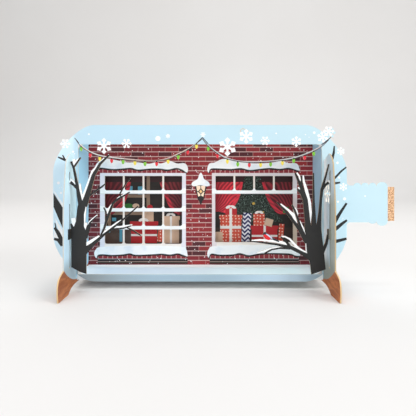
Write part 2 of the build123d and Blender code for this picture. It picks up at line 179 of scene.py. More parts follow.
def make_paper_grain():
    """Uneven ink on coated board: slow blotches, fine fibres and a height for the bump."""
    tree, nodes, given, result = new_group(
        "paper_grain",
        {"Color": ("NodeSocketColor", (1, 1, 1, 1)), "Unevenness": ("NodeSocketFloat", 0.05)},
        {"Color": "NodeSocketColor", "Height": "NodeSocketFloat"},
    )
    place = nodes.place()
    fibres = nodes.noise(place, 2600.0)
    both = nodes.math("MULTIPLY_ADD", fibres, 0.4, nodes.noise(place, 60.0, 3.0))
    swing = nodes.math("SUBTRACT", both, 0.7)
    level = nodes.math("MULTIPLY_ADD", swing, given["Unevenness"], 1.0)
    shade = nodes.first("ShaderNodeCombineColor", {0: level, 1: level, 2: level})
    tinted = nodes.mix(1.0, given["Color"], shade, "MULTIPLY")
    nodes.link(tinted, result.inputs["Color"])
    nodes.link(fibres, result.inputs["Height"])
    return tree


def make_cut_sheet():
    """Printed face, plain back and raw cut edge of a sheet, told apart by where they face."""
    inputs = {part: ("NodeSocketColor", (1, 1, 1, 1)) for part in ("Face", "Back", "Edge")}
    inputs["Facing"] = ("NodeSocketVector", (0, -1, 0))
    tree, nodes, given, result = new_group("cut_sheet", inputs, {"Color": "NodeSocketColor"})
    normal = nodes.add("ShaderNodeNewGeometry").outputs["True Normal"]
    towards = nodes.add("ShaderNodeVectorMath", {0: normal, 1: given["Facing"]}, operation="DOT_PRODUCT")
    on_face = nodes.over(towards.outputs["Value"], 0.6)
    on_back = nodes.under(towards.outputs["Value"], -0.6)
    color = nodes.mix(on_face, given["Edge"], given["Face"])
    color = nodes.mix(on_back, color, given["Back"])
    nodes.link(color, result.inputs["Color"])
    return tree


PAPER_GRAIN = make_paper_grain()
CUT_SHEET = make_cut_sheet()


def cut_sheet(nodes, face, edge, back=CARD_BACK, facing=(0, -1, 0)):
    """Colour of a sheet from its printed face, its raw edge and its back."""
    inputs = {"Face": face, "Back": back, "Edge": edge, "Facing": facing}
    return nodes.first("ShaderNodeGroup", inputs, node_tree=CUT_SHEET)


def new_material(name, roughness):
    """A material, its node adder and its shader."""
    material = bpy.data.materials.new(name)
    material.use_nodes = True
    shader = material.node_tree.nodes["Principled BSDF"]
    shader.inputs["Roughness"].default_value = roughness
    return material, Nodes(material.node_tree), shader


def printed(name, paint, unevenness=0.06, roughness=0.5):
    """A material of ink on board. paint adds the nodes of its colour, or is one plain colour."""
    material, nodes, shader = new_material(name, roughness)
    shader.inputs["Specular IOR Level"].default_value = 0.3
    color = paint(nodes) if callable(paint) else paint
    inputs = {"Color": color, "Unevenness": unevenness}
    grain = nodes.add("ShaderNodeGroup", inputs, node_tree=PAPER_GRAIN).outputs
    relief = {"Height": grain["Height"], "Strength": 0.05, "Distance": 0.0001}
    nodes.link(grain["Color"], shader.inputs["Base Color"])
    nodes.link(nodes.first("ShaderNodeBump", relief), shader.inputs["Normal"])
    return material


def place_in_mm(nodes):
    """Separate x, y and z of the shaded point, in the millimetres that shapes are drawn in."""
    place = nodes.place()
    split = nodes.add("ShaderNodeSeparateXYZ", {0: place}).outputs
    x = nodes.math("MULTIPLY_ADD", split["X"], 1 / MM, -BODY_X)
    y = nodes.times(split["Y"], 1 / MM)
    z = nodes.times(split["Z"], 1 / MM)
    return place, x, y, z


def ramp(nodes, value, low, high):
    """0 below low and 1 above high, with a soft step between."""
    limits = {"Value": value, "From Min": low, "From Max": high}
    return nodes.first("ShaderNodeMapRange", limits, interpolation_type="SMOOTHSTEP")


def between(nodes, value, low, high):
    """1 where the value lies between two limits."""
    above = nodes.over(value, low)
    return nodes.times(above, nodes.under(value, high))


def inside(nodes, x, z, left, right, bottom, top):
    """1 in a rectangle of the sheet."""
    return nodes.times(between(nodes, x, left, right), between(nodes, z, bottom, top))


def either(nodes, masks):
    """1 where any of the masks is."""
    joined = masks[0]
    for mask in masks[1:]:
        joined = nodes.math("MAXIMUM", joined, mask)
    return joined


def bands(nodes, value, stops):
    """Colour that changes in steps as a value rises, from (start, colour) pairs."""
    color = stops[0][1]
    for start, next_color in stops[1:]:
        color = nodes.mix(nodes.over(value, start), color, next_color)
    return color


def paint_bottle(nodes):
    """Icy glass, with painted light at the left end, a pale wire and speckled cork.

    Its foot carries painted shade, lighter right of the middle and darkest at the left corner.
    """
    place, x, _, z = place_in_mm(nodes)
    color = nodes.mix(ramp(nodes, x, -60, 90), GLASS_BLUE, GLASS_PALE)
    # painted light on the left end, where the left wall shadows the panel
    color = nodes.mix(ramp(nodes, x, -78, -81), color, ink(212, 238, 252))
    # painted shade on the foot, less of it right of the middle, and more painted shade at its left corner
    foot_light_mask = nodes.times(ramp(nodes, x, 8, 50), ramp(nodes, x, 72, 60))
    foot = nodes.mix(foot_light_mask, ink(160, 186, 202), ink(192, 218, 235))
    color = nodes.mix(ramp(nodes, z, 10.5, 7.5), color, foot)
    corner_shade_mask = nodes.times(ramp(nodes, x, -24, -74), ramp(nodes, z, 16, 11))
    color = nodes.mix(nodes.times(corner_shade_mask, 0.8), color, ink(146, 156, 160))
    wire = bands(nodes, x, [
        (-80, ink(226, 222, 218)), (-48, ink(196, 170, 164)), (-16, ink(208, 192, 180)),
        (1.5, ink(196, 194, 194)),
    ])
    color = nodes.mix(inside(nodes, x, z, *OPENING), color, wire)
    grains = nodes.noise(place, 1400, 5)
    cork = nodes.mix(ramp(nodes, grains, 0.4, 0.58), ink(168, 112, 72), ink(246, 206, 164))
    color = nodes.mix(nodes.over(x, CORK_X), color, cork)
    return cut_sheet(nodes, color, CUT_CREAM)


def paint_end_wall(side, inks):
    """Icy colour over a curved border and streaky wood below it. side is -1 left and 1 right."""

    def paint(nodes):
        place, _, y, z = place_in_mm(nodes)
        share = nodes.math("DIVIDE", nodes.math("ABSOLUTE", y), WALL_REACH)
        curve = nodes.math("POWER", share, BORDER_CURVE)
        border = nodes.math("MULTIPLY_ADD", curve, BORDER_RISE, BORDER_LOW)
        on_foot = nodes.under(z, border)
        grain = {"Vector": place, "Scale": (1, 0.22, 1), "Rotation": (0.9, 0, 0)}
        streaks = nodes.noise(nodes.first("ShaderNodeMapping", grain), 460, 4, 1)
        wood = nodes.mix(ramp(nodes, streaks, 0.3, 0.72), inks["dark wood"], inks["light wood"])
        # the inner face, from the front edge to the recess; its inks hold painted shade in front of the slot
        # low down, along the slot, along the bottom and behind the panel, and on the right wall painted
        # light by the panel
        shade_before_slot = nodes.times(ramp(nodes, y, TREE_Y, TREE_Y - 0.8), ramp(nodes, z, 66, 52))
        slot_shade_band = inside(nodes, y, z, TREE_Y - 1.5, TREE_Y + 0.3, FOOT_TOP, SLOT_TOP)
        inner = nodes.mix(ramp(nodes, y, -15, -10), inks["middle"], inks["by panel"])
        inner = nodes.mix(shade_before_slot, inner, inks["front"])
        inner = nodes.mix(nodes.times(slot_shade_band, 0.8), inner, inks["slot shade"])
        inner = nodes.mix(ramp(nodes, z, 24, 14), inner, inks["low"])
        inner = nodes.mix(nodes.over(y, PANEL_Y), inner, inks["recess"])
        outer = nodes.mix(ramp(nodes, z, 10, 70), ink(190, 216, 232), ink(204, 229, 242))
        # painted light on the cut edges of the flake holes, and painted shade on the slot's edges, dark from
        # above the tab
        cut = nodes.mix(inside(nodes, y, z, -21.1, -7.7, 53, 68), inks["edge"], ink(250, 246, 236))
        cut = nodes.mix(nodes.under(z, FOOT_TOP), cut, CUT_TAN)
        in_slot = inside(nodes, y, z, TREE_Y - 0.4, TREE_Y + 1.2, FOOT_TOP, SLOT_TOP)
        cut = nodes.mix(in_slot, cut, bands(nodes, z, [(0, ink(150, 170, 180)), (39, SLOT_SHADE_EDGE)]))
        face, back = nodes.mix(on_foot, inner, wood), nodes.mix(on_foot, outer, wood)
        return cut_sheet(nodes, face, cut, back, (-side, 0, 0))

    return paint


def paint_tree_board(nodes):
    """White snow, which bark is printed over. The folded tab is black left, and grey with painted shade
    right.
    """
    _, x, y, _ = place_in_mm(nodes)
    # the right tab's grey is painted shade, like the shaded wall beside it
    tab = nodes.mix(nodes.over(x, 0), BARK_BLACK, ink(146, 150, 138))
    on_tab = nodes.under(y, TREE_Y - 0.05)
    return nodes.mix(on_tab, cut_sheet(nodes, SNOW_WHITE, ink(170, 146, 116)), tab)


def brick_courses(nodes, x, z):
    """Courses of red brick with pale joints, brighter to the right, with some bricks burnt dark."""
    up = nodes.math("SUBTRACT", z, COURSE_START)
    flat = nodes.vector(nodes.math("SUBTRACT", x, BRICK_START), up)
    courses = {
        "Vector": flat, "Color1": (0, 0, 0, 1), "Color2": (1, 1, 1, 1), "Mortar": (0.5, 0.5, 0.5, 1),
        "Scale": 1, "Mortar Size": 0.25, "Mortar Smooth": 0.35, "Bias": 0,
        "Brick Width": BRICK_LENGTH, "Row Height": COURSE,
    }
    bricks = nodes.add("ShaderNodeTexBrick", courses, offset=0.5, offset_frequency=2)
    tint = bricks.outputs["Color"]
    red = nodes.mix(tint, ink(114, 38, 44), ink(146, 44, 50))
    bright = nodes.mix(tint, ink(130, 36, 46), ink(170, 54, 54))
    red = nodes.mix(ramp(nodes, x, -70, 20), red, bright)
    red = nodes.mix(ramp(nodes, tint, 0.77, 0.79), red, ink(80, 36, 40))
    worn = nodes.noise(flat, 1.1, 3)
    red = nodes.mix(ramp(nodes, worn, 0.5, 0.8), red, ink(104, 40, 46))
    joint = nodes.times(bricks.outputs["Fac"], 0.6)
    laid = nodes.mix(joint, red, ink(186, 140, 134))
    # the joints between courses are wider and paler, with frayed edges
    off_bed = nodes.math("MULTIPLY_ADD", worn, 0.3, nodes.math("PINGPONG", up, COURSE / 2))
    return nodes.mix(ramp(nodes, off_bed, 0.57, 0.24), laid, ink(206, 176, 172))


def upright_bricks(nodes, x):
    """Bricks set on end, with a joint every few millimetres."""
    joint = nodes.under(nodes.math("PINGPONG", x, BRICK_ON_END / 2), HALF_JOINT)
    return nodes.mix(joint, ink(142, 46, 54), ink(196, 150, 144))


def paint_bricks(nodes):
    """Brickwork, both window frames under snow, and a snowy ledge."""
    _, x, y, z = place_in_mm(nodes)
    face = brick_courses(nodes, x, z)
    # painted shade darkens the ends of the front, up to the tops of the windows
    at_ends = nodes.math("SUBTRACT", 1, between(nodes, x, -70.5, 67.5))
    shaded_ends = nodes.times(at_ends, ramp(nodes, z, 74, 60))
    face = nodes.mix(nodes.times(shaded_ends, 0.34), face, ink(50, 30, 32))
    over_windows = [inside(nodes, x, z, left, right, FRAME_RISE[1], 76) for left, right, _ in WINDOWS]
    face = nodes.mix(either(nodes, over_windows), face, upright_bricks(nodes, x))
    # under each sill: bricks on end, then the mouldings in thin bands
    sill = bands(nodes, z, [
        (8, ink(112, 26, 32)), (9.6, ink(48, 40, 38)), (10.8, ink(146, 122, 112)), (11.4, ink(28, 26, 28)),
        (12.7, ink(150, 156, 158)), (13.2, upright_bricks(nodes, x)),
    ])
    under_windows = [inside(nodes, x, z, left - 1.6, right + 1.2, 8.8, 17) for left, right, _ in WINDOWS]
    face = nodes.mix(either(nodes, under_windows), face, sill)
    jamb = bands(nodes, x, [(-80, ink(232, 231, 240)), (0, ink(226, 217, 220))])
    for left, right, rails in WINDOWS:
        lit = nodes.mix(ramp(nodes, z, 25, 21), ink(236, 226, 218), ink(248, 243, 238))
        frame = nodes.mix(inside(nodes, x, z, left + JAMB, right - JAMB, 20, 70.8), jamb, lit)
        snowy = either(nodes, [between(nodes, z, bottom - 0.3, top + 1.4) for bottom, top in rails])
        shaded = either(nodes, [between(nodes, z, bottom - 0.3, bottom + 0.45) for bottom, _ in rails])
        frame = nodes.mix(snowy, frame, SNOW_WHITE)
        frame = nodes.mix(nodes.times(shaded, 0.5), frame, ink(206, 208, 208))
        face = nodes.mix(inside(nodes, x, z, left, right, *FRAME_RISE), face, frame)
    # painted shade: the right window's right jamb turns a shaded tan towards the sill
    right = WINDOWS[1][1]
    at_jamb = inside(nodes, x, z, right - JAMB, right, *FRAME_RISE)
    shaded_jamb = nodes.times(at_jamb, ramp(nodes, z, 62, 36))
    face = nodes.mix(nodes.times(shaded_jamb, 0.8), face, ink(196, 170, 142))
    front = cut_sheet(nodes, face, ink(208, 196, 178))
    # painted light on the ledge: lighter to the right, at its ends and at the back, where the rims of the
    # opening shade it
    ledge = nodes.mix(ramp(nodes, x, -40, 60), ink(203, 220, 233), ink(226, 252, 255))
    lit_ledge_ends = ramp(nodes, nodes.math("ABSOLUTE", x), 58, 84)
    ledge = nodes.mix(either(nodes, [lit_ledge_ends, ramp(nodes, y, 9, 20)]), ledge, ink(250, 254, 255))
    return nodes.mix(nodes.under(z, 8.9), front, ledge)


def paint_room(nodes):
    """A dark room behind the windows, with a brown floor and a dark valance along the top."""
    place, x, _, z = place_in_mm(nodes)
    wall = nodes.mix(nodes.noise(place, 140), ink(22, 22, 22), ink(50, 42, 38))
    floor = nodes.mix(nodes.over(x, 0), ink(92, 74, 66), ink(58, 44, 40))
    face = nodes.mix(ramp(nodes, z, 34.5, 33.5), wall, floor)
    face = nodes.mix(nodes.over(z, 66.3), face, ink(56, 28, 30))
    return cut_sheet(nodes, face, CUT_TAN)


def drape(dark, light, tie_x, tie_z):
    """Cloth in folds that fan out from where the curtain is tied."""

    def paint(nodes):
        place, x, _, z = place_in_mm(nodes)
        aside = nodes.math("SUBTRACT", x, tie_x)
        upward = nodes.math("SUBTRACT", z, tie_z)
        bend = nodes.noise(place, 70)
        angle = nodes.math("MULTIPLY_ADD", bend, 0.25, nodes.math("ARCTAN2", aside, upward))
        wave = nodes.math("SINE", nodes.times(angle, 72))
        level = nodes.math("MULTIPLY_ADD", wave, 0.34, bend)
        # the cloth is darker where it hangs close to the wall
        from_side = ramp(nodes, nodes.math("ABSOLUTE", aside), 5, 20)
        level = nodes.times(level, nodes.math("MULTIPLY_ADD", from_side, 0.5, 0.5))
        return nodes.mix(ramp(nodes, level, 0.15, 0.85), dark, light)

    return paint


def snow_shading(nodes):
    """Snow, a little bluer in patches."""
    drift = nodes.noise(nodes.place(), 150, 3)
    return nodes.mix(ramp(nodes, drift, 0.45, 0.7), SNOW_WHITE, SNOW_BLUE)


def needles(nodes):
    """Dark needles of a fir in a dim room."""
    tufts = nodes.noise(nodes.place(), 900, 4)
    return nodes.mix(ramp(nodes, tufts, 0.4, 0.75), ink(22, 27, 24), ink(84, 104, 92))


def striped_paper(nodes):
    """Wrapping paper in zigzag stripes."""
    _, x, _, z = place_in_mm(nodes)
    slant = nodes.math("PINGPONG", x, 2.4)
    stripe = nodes.math("PINGPONG", nodes.math("ADD", slant, z), 1.5)
    return nodes.mix(nodes.over(stripe, 0.8), ink(38, 40, 92), ink(230, 230, 238))


def dotted_paper(nodes):
    """Wrapping paper with pale spots."""
    _, x, _, z = place_in_mm(nodes)
    spots = {"Vector": nodes.vector(x, z), "Scale": 0.45, "Randomness": 0.3}
    reach = nodes.add("ShaderNodeTexVoronoi", spots, voronoi_dimensions="2D").outputs["Distance"]
    return nodes.mix(nodes.under(reach, 0.22), ink(208, 80, 60), ink(240, 206, 188))


SNOW = printed("snow_print", snow_shading, 0.02)
BARK = printed("bark_print", BARK_BLACK, 0.2)
FLAKE = printed("flake_print", ink(250, 251, 252), 0.02)
SHADE_LINE = printed("shade_line_print", ink(40, 36, 38), 0.2)
WIRE_LINE = printed("wire_line_print", ink(66, 62, 68), 0.1)
CUT_MARK = printed("cut_mark_print", CUT_TAN, 0.1)
BULB_GREEN = printed("green_bulb_print", ink(128, 196, 66), 0.05, 0.35)
BULB_RED = printed("red_bulb_print", ink(228, 56, 68), 0.05, 0.35)
BULB_YELLOW = printed("yellow_bulb_print", ink(242, 222, 88), 0.05, 0.35)
SOCKET = printed("bulb_socket_print", ink(40, 44, 44), 0.1)
LAMP_GLASS = printed("lamp_glass_print", ink(252, 226, 198), 0.06)
LAMP_FLAME = printed("lamp_flame_print", ink(246, 202, 138), 0.05)
SHELF_WOOD = printed("shelf_print", ink(150, 124, 104), 0.25)
FIR_GREEN = printed("fir_print", needles, 0.3)
GIFT_RED = printed("red_gift_print", ink(186, 40, 46), 0.12)
GIFT_ORANGE = printed("orange_gift_print", dotted_paper, 0.1)
GIFT_TAN = printed("tan_gift_print", ink(216, 182, 156), 0.1)
RIBBON = printed("ribbon_print", ink(238, 232, 228), 0.06)
GIFT_STRIPES = printed("striped_gift_print", striped_paper, 0.08)
TEAL = printed("teal_print", ink(92, 162, 184), 0.12)
LEAF_GREEN = printed("leaf_print", ink(48, 112, 50), 0.2)
SPARKLE = printed("sparkle_print", ink(176, 196, 188), 0.12)
GOLD = printed("gold_print", ink(206, 170, 76), 0.15)
COAT_DARK = printed("coat_print", ink(42, 46, 56), 0.2)
WING_PALE = printed("wing_print", ink(208, 212, 232), 0.1)
BREAST_RED = printed("breast_print", ink(222, 44, 48), 0.15)

# inks of the left wall: its front, slot shade, low and recess inks are painted shade, and its pale edge is
# painted light
left_wall_paint = paint_end_wall(-1, {
    "front": ink(206, 238, 255), "slot shade": ink(206, 238, 255), "middle": ink(214, 246, 255),
    "by panel": ink(214, 246, 255), "low": ink(158, 180, 190), "recess": ink(176, 230, 255),
    "edge": ink(204, 208, 206), "dark wood": ink(142, 78, 40), "light wood": ink(178, 110, 62),
})
# inks of the right wall: greyer than the left's on the inner face, painted shade as that face turns from the
# key light; its by panel ink is painted light
right_wall_paint = paint_end_wall(1, {
    "front": ink(188, 196, 188), "slot shade": ink(136, 140, 126), "middle": ink(212, 230, 238),
    "by panel": ink(250, 254, 255), "low": ink(154, 160, 150), "recess": ink(170, 206, 226),
    "edge": ink(192, 168, 130), "dark wood": ink(164, 88, 44), "light wood": ink(204, 124, 68),
})
board_paints = {
    "bottle_panel": printed("bottle_board", paint_bottle, 0.04),
    "left_end_wall": printed("left_wall_board", left_wall_paint, 0.05),
    "right_end_wall": printed("right_wall_board", right_wall_paint, 0.05),
    "left_tree": printed("tree_board", paint_tree_board, 0.04),
    "brick_front": printed("brick_board", paint_bricks, 0.1),
    "room_sheet": printed("room_board", paint_room, 0.12),
}
board_paints["right_tree"] = board_paints["left_tree"]
for node, material in board_paints.items():
    frame["nodes"][node].data.materials.clear()
    frame["nodes"][node].data.materials.append(material)


# Flat printed shapes


def signed_area(outline):
    pairs = zip(outline, outline[1:] + outline[:1])
    return sum(x0 * z1 - x1 * z0 for (x0, z0), (x1, z1) in pairs) / 2


def in_frame(points, y):
    """Points drawn on a sheet at y, as places in the part's frame."""
    return [((x + BODY_X) * MM, y * MM, z * MM) for x, z in points]


def add_object(name, data):
    added = bpy.data.objects.new(name, data)
    bpy.context.scene.collection.objects.link(added)
    return added


def add_piece(name, mesh):
    piece = add_object(name, mesh)
    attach(piece, "root")


def print_shapes(name, slot, material, outlines, layer=1):
    """Printed shapes as thin closed plates that stand a few hundredths of a millimetre proud."""
    mesh = bmesh.new()
    for index, outline in enumerate(outlines):
        ring = outline if signed_area(outline) > 0 else outline[::-1]
        proud = LAYER_PROUD * layer + SHAPE_PROUD * index
        front = [mesh.verts.new(place) for place in in_frame(ring, FACE_Y[slot] - proud)]
        back = [mesh.verts.new(place) for place in in_frame(ring, FACE_Y[slot] + PRINT_SUNK)]
        mesh.faces.new(front)
        mesh.faces.new(back[::-1])
        for k in range(len(ring)):
            n = (k + 1) % len(ring)
            mesh.faces.new((front[n], front[k], back[k], back[n]))
    mesh.normal_update()
    bmesh.ops.triangulate(mesh, faces=mesh.faces, ngon_method="EAR_CLIP")
    data = bpy.data.meshes.new(name)
    mesh.to_mesh(data)
    mesh.free()
    data.materials.append(material)
    add_piece(name, data)


def strip(limb):
    """Outline of a limb of (x, z, width) points, with square ends."""
    left, right = [], []
    for index, (x, z, width) in enumerate(limb):
        x0, z0 = limb[max(index - 1, 0)][:2]
        x1, z1 = limb[min(index + 1, len(limb) - 1)][:2]
        length = math.hypot(x1 - x0, z1 - z0)
        across = Vector((z0 - z1, x1 - x0)) * (width / 2 / length)
        left.append((x + across.x, z + across.y))
        right.append((x - across.x, z - across.y))
    return right + left[::-1]


def bar(left, right, bottom, top):
    return [(left, bottom), (right, bottom), (right, top), (left, top)]


def oval(x, z, reach_x, reach_z, turn=0.0, steps=20):
    """An ellipse turned by some degrees."""
    c, s = math.cos(math.radians(turn)), math.sin(math.radians(turn))
    ring = []
    for k in range(steps):
        a, b = reach_x * math.cos(math.tau * k / steps), reach_z * math.sin(math.tau * k / steps)
        ring.append((x + a * c - b * s, z + a * s + b * c))
    return ring


def bow(x, z, aside, reach_x, reach_z):
    """Two loops of ribbon, one each side of a knot."""
    return [oval(x - side * aside, z, reach_x, reach_z, side * 25) for side in (1, -1)]


def smooth(points, closed=True, steps=4):
    """A rounded line through a few points, which may carry a width as well."""
    count = len(points)
    line = []
    for k in range(count if closed else count - 1):
        if closed:
            a, b, c, d = (points[(k + shift) % count] for shift in (-1, 0, 1, 2))
        else:
            a, b, c, d = (points[min(max(k + shift, 0), count - 1)] for shift in (-1, 0, 1, 2))
        for step in range(steps):
            t = step / steps
            line.append(tuple(
                q + 0.5 * t * (r - p + t * (2 * p - 5 * q + 4 * r - s + t * (3 * (q - r) + s - p)))
                for p, q, r, s in zip(a, b, c, d)
            ))
    return line if closed else line + [points[-1]]


# Bark of both trees, as (reach from the wall, height, width) along each limb

left_limbs = [
    [(5.7, 33, 9.2), (5.8, 38, 8.2), (5.8, 40.8, 5.8), (6.3, 43.2, 5), (6.5, 47.9, 4.4), (7, 51, 4.8),
     (7.7, 54.5, 4.6)],
    [(7, 52.5, 3.2), (5.9, 57.5, 2.6), (4.9, 63, 2), (3.7, 69.5, 1.5), (2.5, 75.5, 1.3), (1, 79.4, 1.2)],
    [(2.6, 76, 1), (4.5, 78.8, 1), (6.6, 81.8, 0.8)],
    [(4.9, 63, 1.6), (2.5, 65.4, 1.5), (0.6, 67.1, 1.9)],
    [(8.6, 52.7, 4), (10.6, 58.7, 3.3), (12.4, 64.7, 2.7), (14.3, 71, 2.2), (18.4, 78.2, 1.5),
     (24, 83.4, 0.8)],
    [(12, 59, 0.9), (16.5, 62.3, 0.9), (19.3, 64.2, 1), (21.2, 65.8, 0.7)],
    [(2.9, 36.5, 3), (1, 42.2, 0.9)],
    [(9.6, 33.5, 2.4), (11.3, 40, 2.4), (12.6, 43.1, 0.9), (16.5, 46.8, 0.45)],
    [(8.4, 25.2, 4.6), (13.9, 29.8, 2.2), (20.8, 35.7, 1.4), (30.4, 43.1, 1.1), (41.2, 52.7, 0.7)],
    [(24.4, 38.3, 1.1), (28, 39.1, 1), (32.2, 39.4, 0.9), (37, 40.9, 0.7)],
    [(34.4, 39.8, 0.8), (38.2, 38, 0.8), (42.7, 35, 0.7)],
    [(18.6, 34.6, 1.1), (20.8, 39.5, 1.2), (22.5, 45, 1.7), (25.9, 54.2, 1.2), (28, 56.3, 1.2),
     (36.1, 61, 0.8)],
    [(31, 57.5, 0.8), (30.3, 60.3, 0.8), (33.7, 66.2, 0.7), (36.4, 69.3, 0.6)],
    [(22.3, 47.5, 1), (21.2, 50.6, 0.8), (20.5, 51.8, 0.7)],
    [(-0.8, 36, 6), (1.5, 36, 6)],
]
left_trunk = [(1.1, 38), (1.1, 16.1), (6.3, 13.2), (10.1, 12), (10.2, 38)]
right_limbs = [
    [(12.9, 37, 4.2), (13.3, 43, 3.3), (14.7, 56.3, 3), (16.2, 60.5, 3.1), (17.1, 64.1, 2),
     (20.8, 72.6, 0.9)],
    [(16.8, 63, 1.2), (16.9, 68.3, 1), (16.9, 71, 0.8)],
    [(16.6, 60, 1.8), (18.9, 62.3, 1.4), (19.4, 63, 0.9)],
    [(9.6, 38, 4.2), (9.6, 43, 2.8), (9.7, 56.3, 1.3), (9.7, 63.5, 0.9), (9.8, 72.5, 0.7)],
    [(6.9, 38, 3.2), (5.9, 49.1, 1.7), (5.4, 56.3, 1.5), (4.8, 62.3, 1.7), (2.4, 70.7, 1.1),
     (0.6, 77.8, 0.7)],
    [(4.9, 62.5, 1.8), (2.4, 65.6, 1.4), (0.6, 66.8, 1.5)],
    [(13.4, 31, 3.4), (18, 38.6, 2.2), (25.2, 48.2, 1.3), (31.5, 55.1, 0.8)],
    [(15.6, 35.6, 1.8), (17.7, 40.7, 1.4), (21, 50.3, 1.1), (22.7, 53.3, 0.8)],
    [(11, 21.4, 4), (16.2, 24.3, 2.1), (23.4, 27.9, 2.2), (31.8, 29.7, 1.2), (46.6, 31.6, 0.7)],
    [(24, 28.4, 1.8), (26.1, 31.4, 1.4), (29.4, 34.3, 0.8)],
    [(23.6, 27.2, 1.2), (30, 27.5, 1), (34.8, 26.7, 0.9), (39.1, 24.2, 0.8)],
    [(4.6, 24.6, 2.2), (2.1, 30.2, 1.7), (1, 35.5, 1.4)],
    [(-0.8, 36, 6), (1.5, 36, 6)],
]
right_trunk = [
    (2.5, 14.8), (4.3, 14.1), (7.2, 13), (11.1, 11.7), (11.8, 17.9), (13.9, 25.6), (14.9, 40), (5.3, 40),
    (3.6, 25.7)
]


def from_wall(side, outlines):
    """Shapes drawn inwards from an end wall, put in their place. side is -1 left and 1 right."""
    return [[(side * (WALL_X - reach), z) for reach, z in outline] for outline in outlines]


print_shapes("left_bark", "tree_board", BARK, from_wall(-1, [left_trunk, *map(strip, left_limbs)]))
print_shapes("right_bark", "tree_board", BARK, from_wall(1, [right_trunk, *map(strip, right_limbs)]))

# Small bird on the lowest branch of the right tree
print_shapes("bird_coat", "tree_board", COAT_DARK, from_wall(1, [
    oval(37.2, 34.4, 2.5, 1.5, 35), oval(38.7, 35.75, 1.35, 1.35),
    [(37.2, 35.3), (30.05, 31.7), (30.65, 31.1), (36.2, 33.2)],
]), layer=2)
print_shapes("bird_breast", "tree_board", BREAST_RED, from_wall(1, [
    oval(37.6, 33.9, 2.2, 1.2, 35), oval(39, 34.9, 0.95, 0.8),
]), layer=3)
print_shapes("bird_wing_bars", "tree_board", WING_PALE, from_wall(1, [
    strip([(38.3, 36, 0.4), (37.2, 35.4, 0.9), (35.7, 34.3, 0.9), (34.6, 33.5, 0.4)]),
    strip([(35.6, 33.6, 0.3), (34.4, 32.9, 0.3)]),
]), layer=4)


# Limbs, snow and wire printed on the bottle panel

panel_trunk = [(-92.3, 60), (-92.3, 51.2), (-86.3, 37.3), (-77.5, 24), (-77.5, 36), (-85.5, 49.2)]
panel_limbs = [
    [(-91.6, 38.2, 1.5), (-89.6, 35.2, 2.4), (-86.1, 28.2, 2.8), (-80, 19, 3.4)],
    [(-91.4, 41.2, 0.6), (-90.4, 36, 1.1)],
    [(-92, 31.1, 1.4), (-89.3, 30.4, 2.2), (-86.6, 27, 2.6)],
    [(-89.5, 82.6, 0.8), (-87.6, 81.8, 1.2), (-85, 80.8, 1.5), (-80, 78.5, 1.8)],
    [(-86.6, 83.9, 0.7), (-84.8, 80.4, 1.3)],
    [(84.6, 89.6, 0.8), (84.3, 85.5, 1.4), (83.5, 82.3, 1.7), (81, 74, 2)],
    [(92.2, 76.3, 0.9), (88.8, 73.5, 1.2), (85.2, 69.7, 1.3), (80, 64, 1.6)],
    [(88.3, 66.6, 1), (85.7, 66.2, 1.4), (81, 65, 1.6)],
    [(92.4, 53.6, 1.3), (88.9, 48.3, 1.8), (86.3, 44.2, 2.3), (80, 33, 2.8)],
    [(92.6, 42.9, 1.3), (89.5, 40.6, 1.9), (86.2, 37.9, 2.3), (80, 33.5, 2.8)],
    [(92.4, 31.2, 1.5), (86.1, 29.6, 2.2), (80, 28.6, 2.8)],
]
panel_snow = [
    [(-92.4, 61.6), (-90.4, 59.4), (-85.4, 51.9), (-80, 45), (-80, 39.5), (-85.5, 48.4)],
    [(-91.6, 44.6), (-90.2, 42.4), (-86.4, 36.2), (-84, 30), (-86.4, 30.4), (-89.2, 36.4)],
    [(-92, 36.6), (-90.6, 34.4), (-88, 29.9), (-89.4, 30.9), (-92.2, 32.2)],
    strip([(-86.8, 82.4, 0.5), (-85, 81.8, 0.9), (-81, 79.9, 1)]),
]
print_shapes("panel_snow_lines", "panel_board", SNOW, panel_snow, layer=1)
print_shapes("panel_limbs", "panel_board", BARK, [panel_trunk, *map(strip, panel_limbs)], layer=2)

# The string of lights: its hooks, the swags between them as (share of the span, drop below the
# opening's top), and the bulbs as shares of each swag's length, in g green, r red and y yellow
left_hook, middle_hook, right_hook = (-78, 93.66), (1.5, 94.56), (81, 93.66)
left_swag = [(0.05, 1.8), (0.17, 6.8), (0.35, 9), (0.51, 10.2), (0.70, 9.6), (0.81, 6.1), (0.90, 2.4)]
right_swag = [
    (0.05, 1.1), (0.12, 5.5), (0.20, 9), (0.39, 11.2), (0.65, 9.7), (0.77, 7.6), (0.87, 4.5), (0.94, 1.4),
]
left_bulbs = [0.058, 0.139, 0.212, 0.299, 0.382, 0.468, 0.541, 0.625, 0.710, 0.790, 0.867, 0.943]
right_bulbs = [0.068, 0.153, 0.234, 0.311, 0.394, 0.475, 0.547, 0.632, 0.714, 0.796, 0.867]
bulb_colours = "gryrgygrygry" + "grygrygygrg"
BULB_DROP, CAP_RISE = 2.0, 1.5


def swag_points(start, end, swag):
    """The points that a swag hangs through, from hook to hook."""
    low = [(start[0] + share * (end[0] - start[0]), OPENING[3] - drop) for share, drop in swag]
    return [start, *low, end]


def wire_line(points, width, shift):
    """Line along a swag, moved down by shift."""
    return strip([(x, z - shift, width) for x, z in smooth(points, closed=False)])


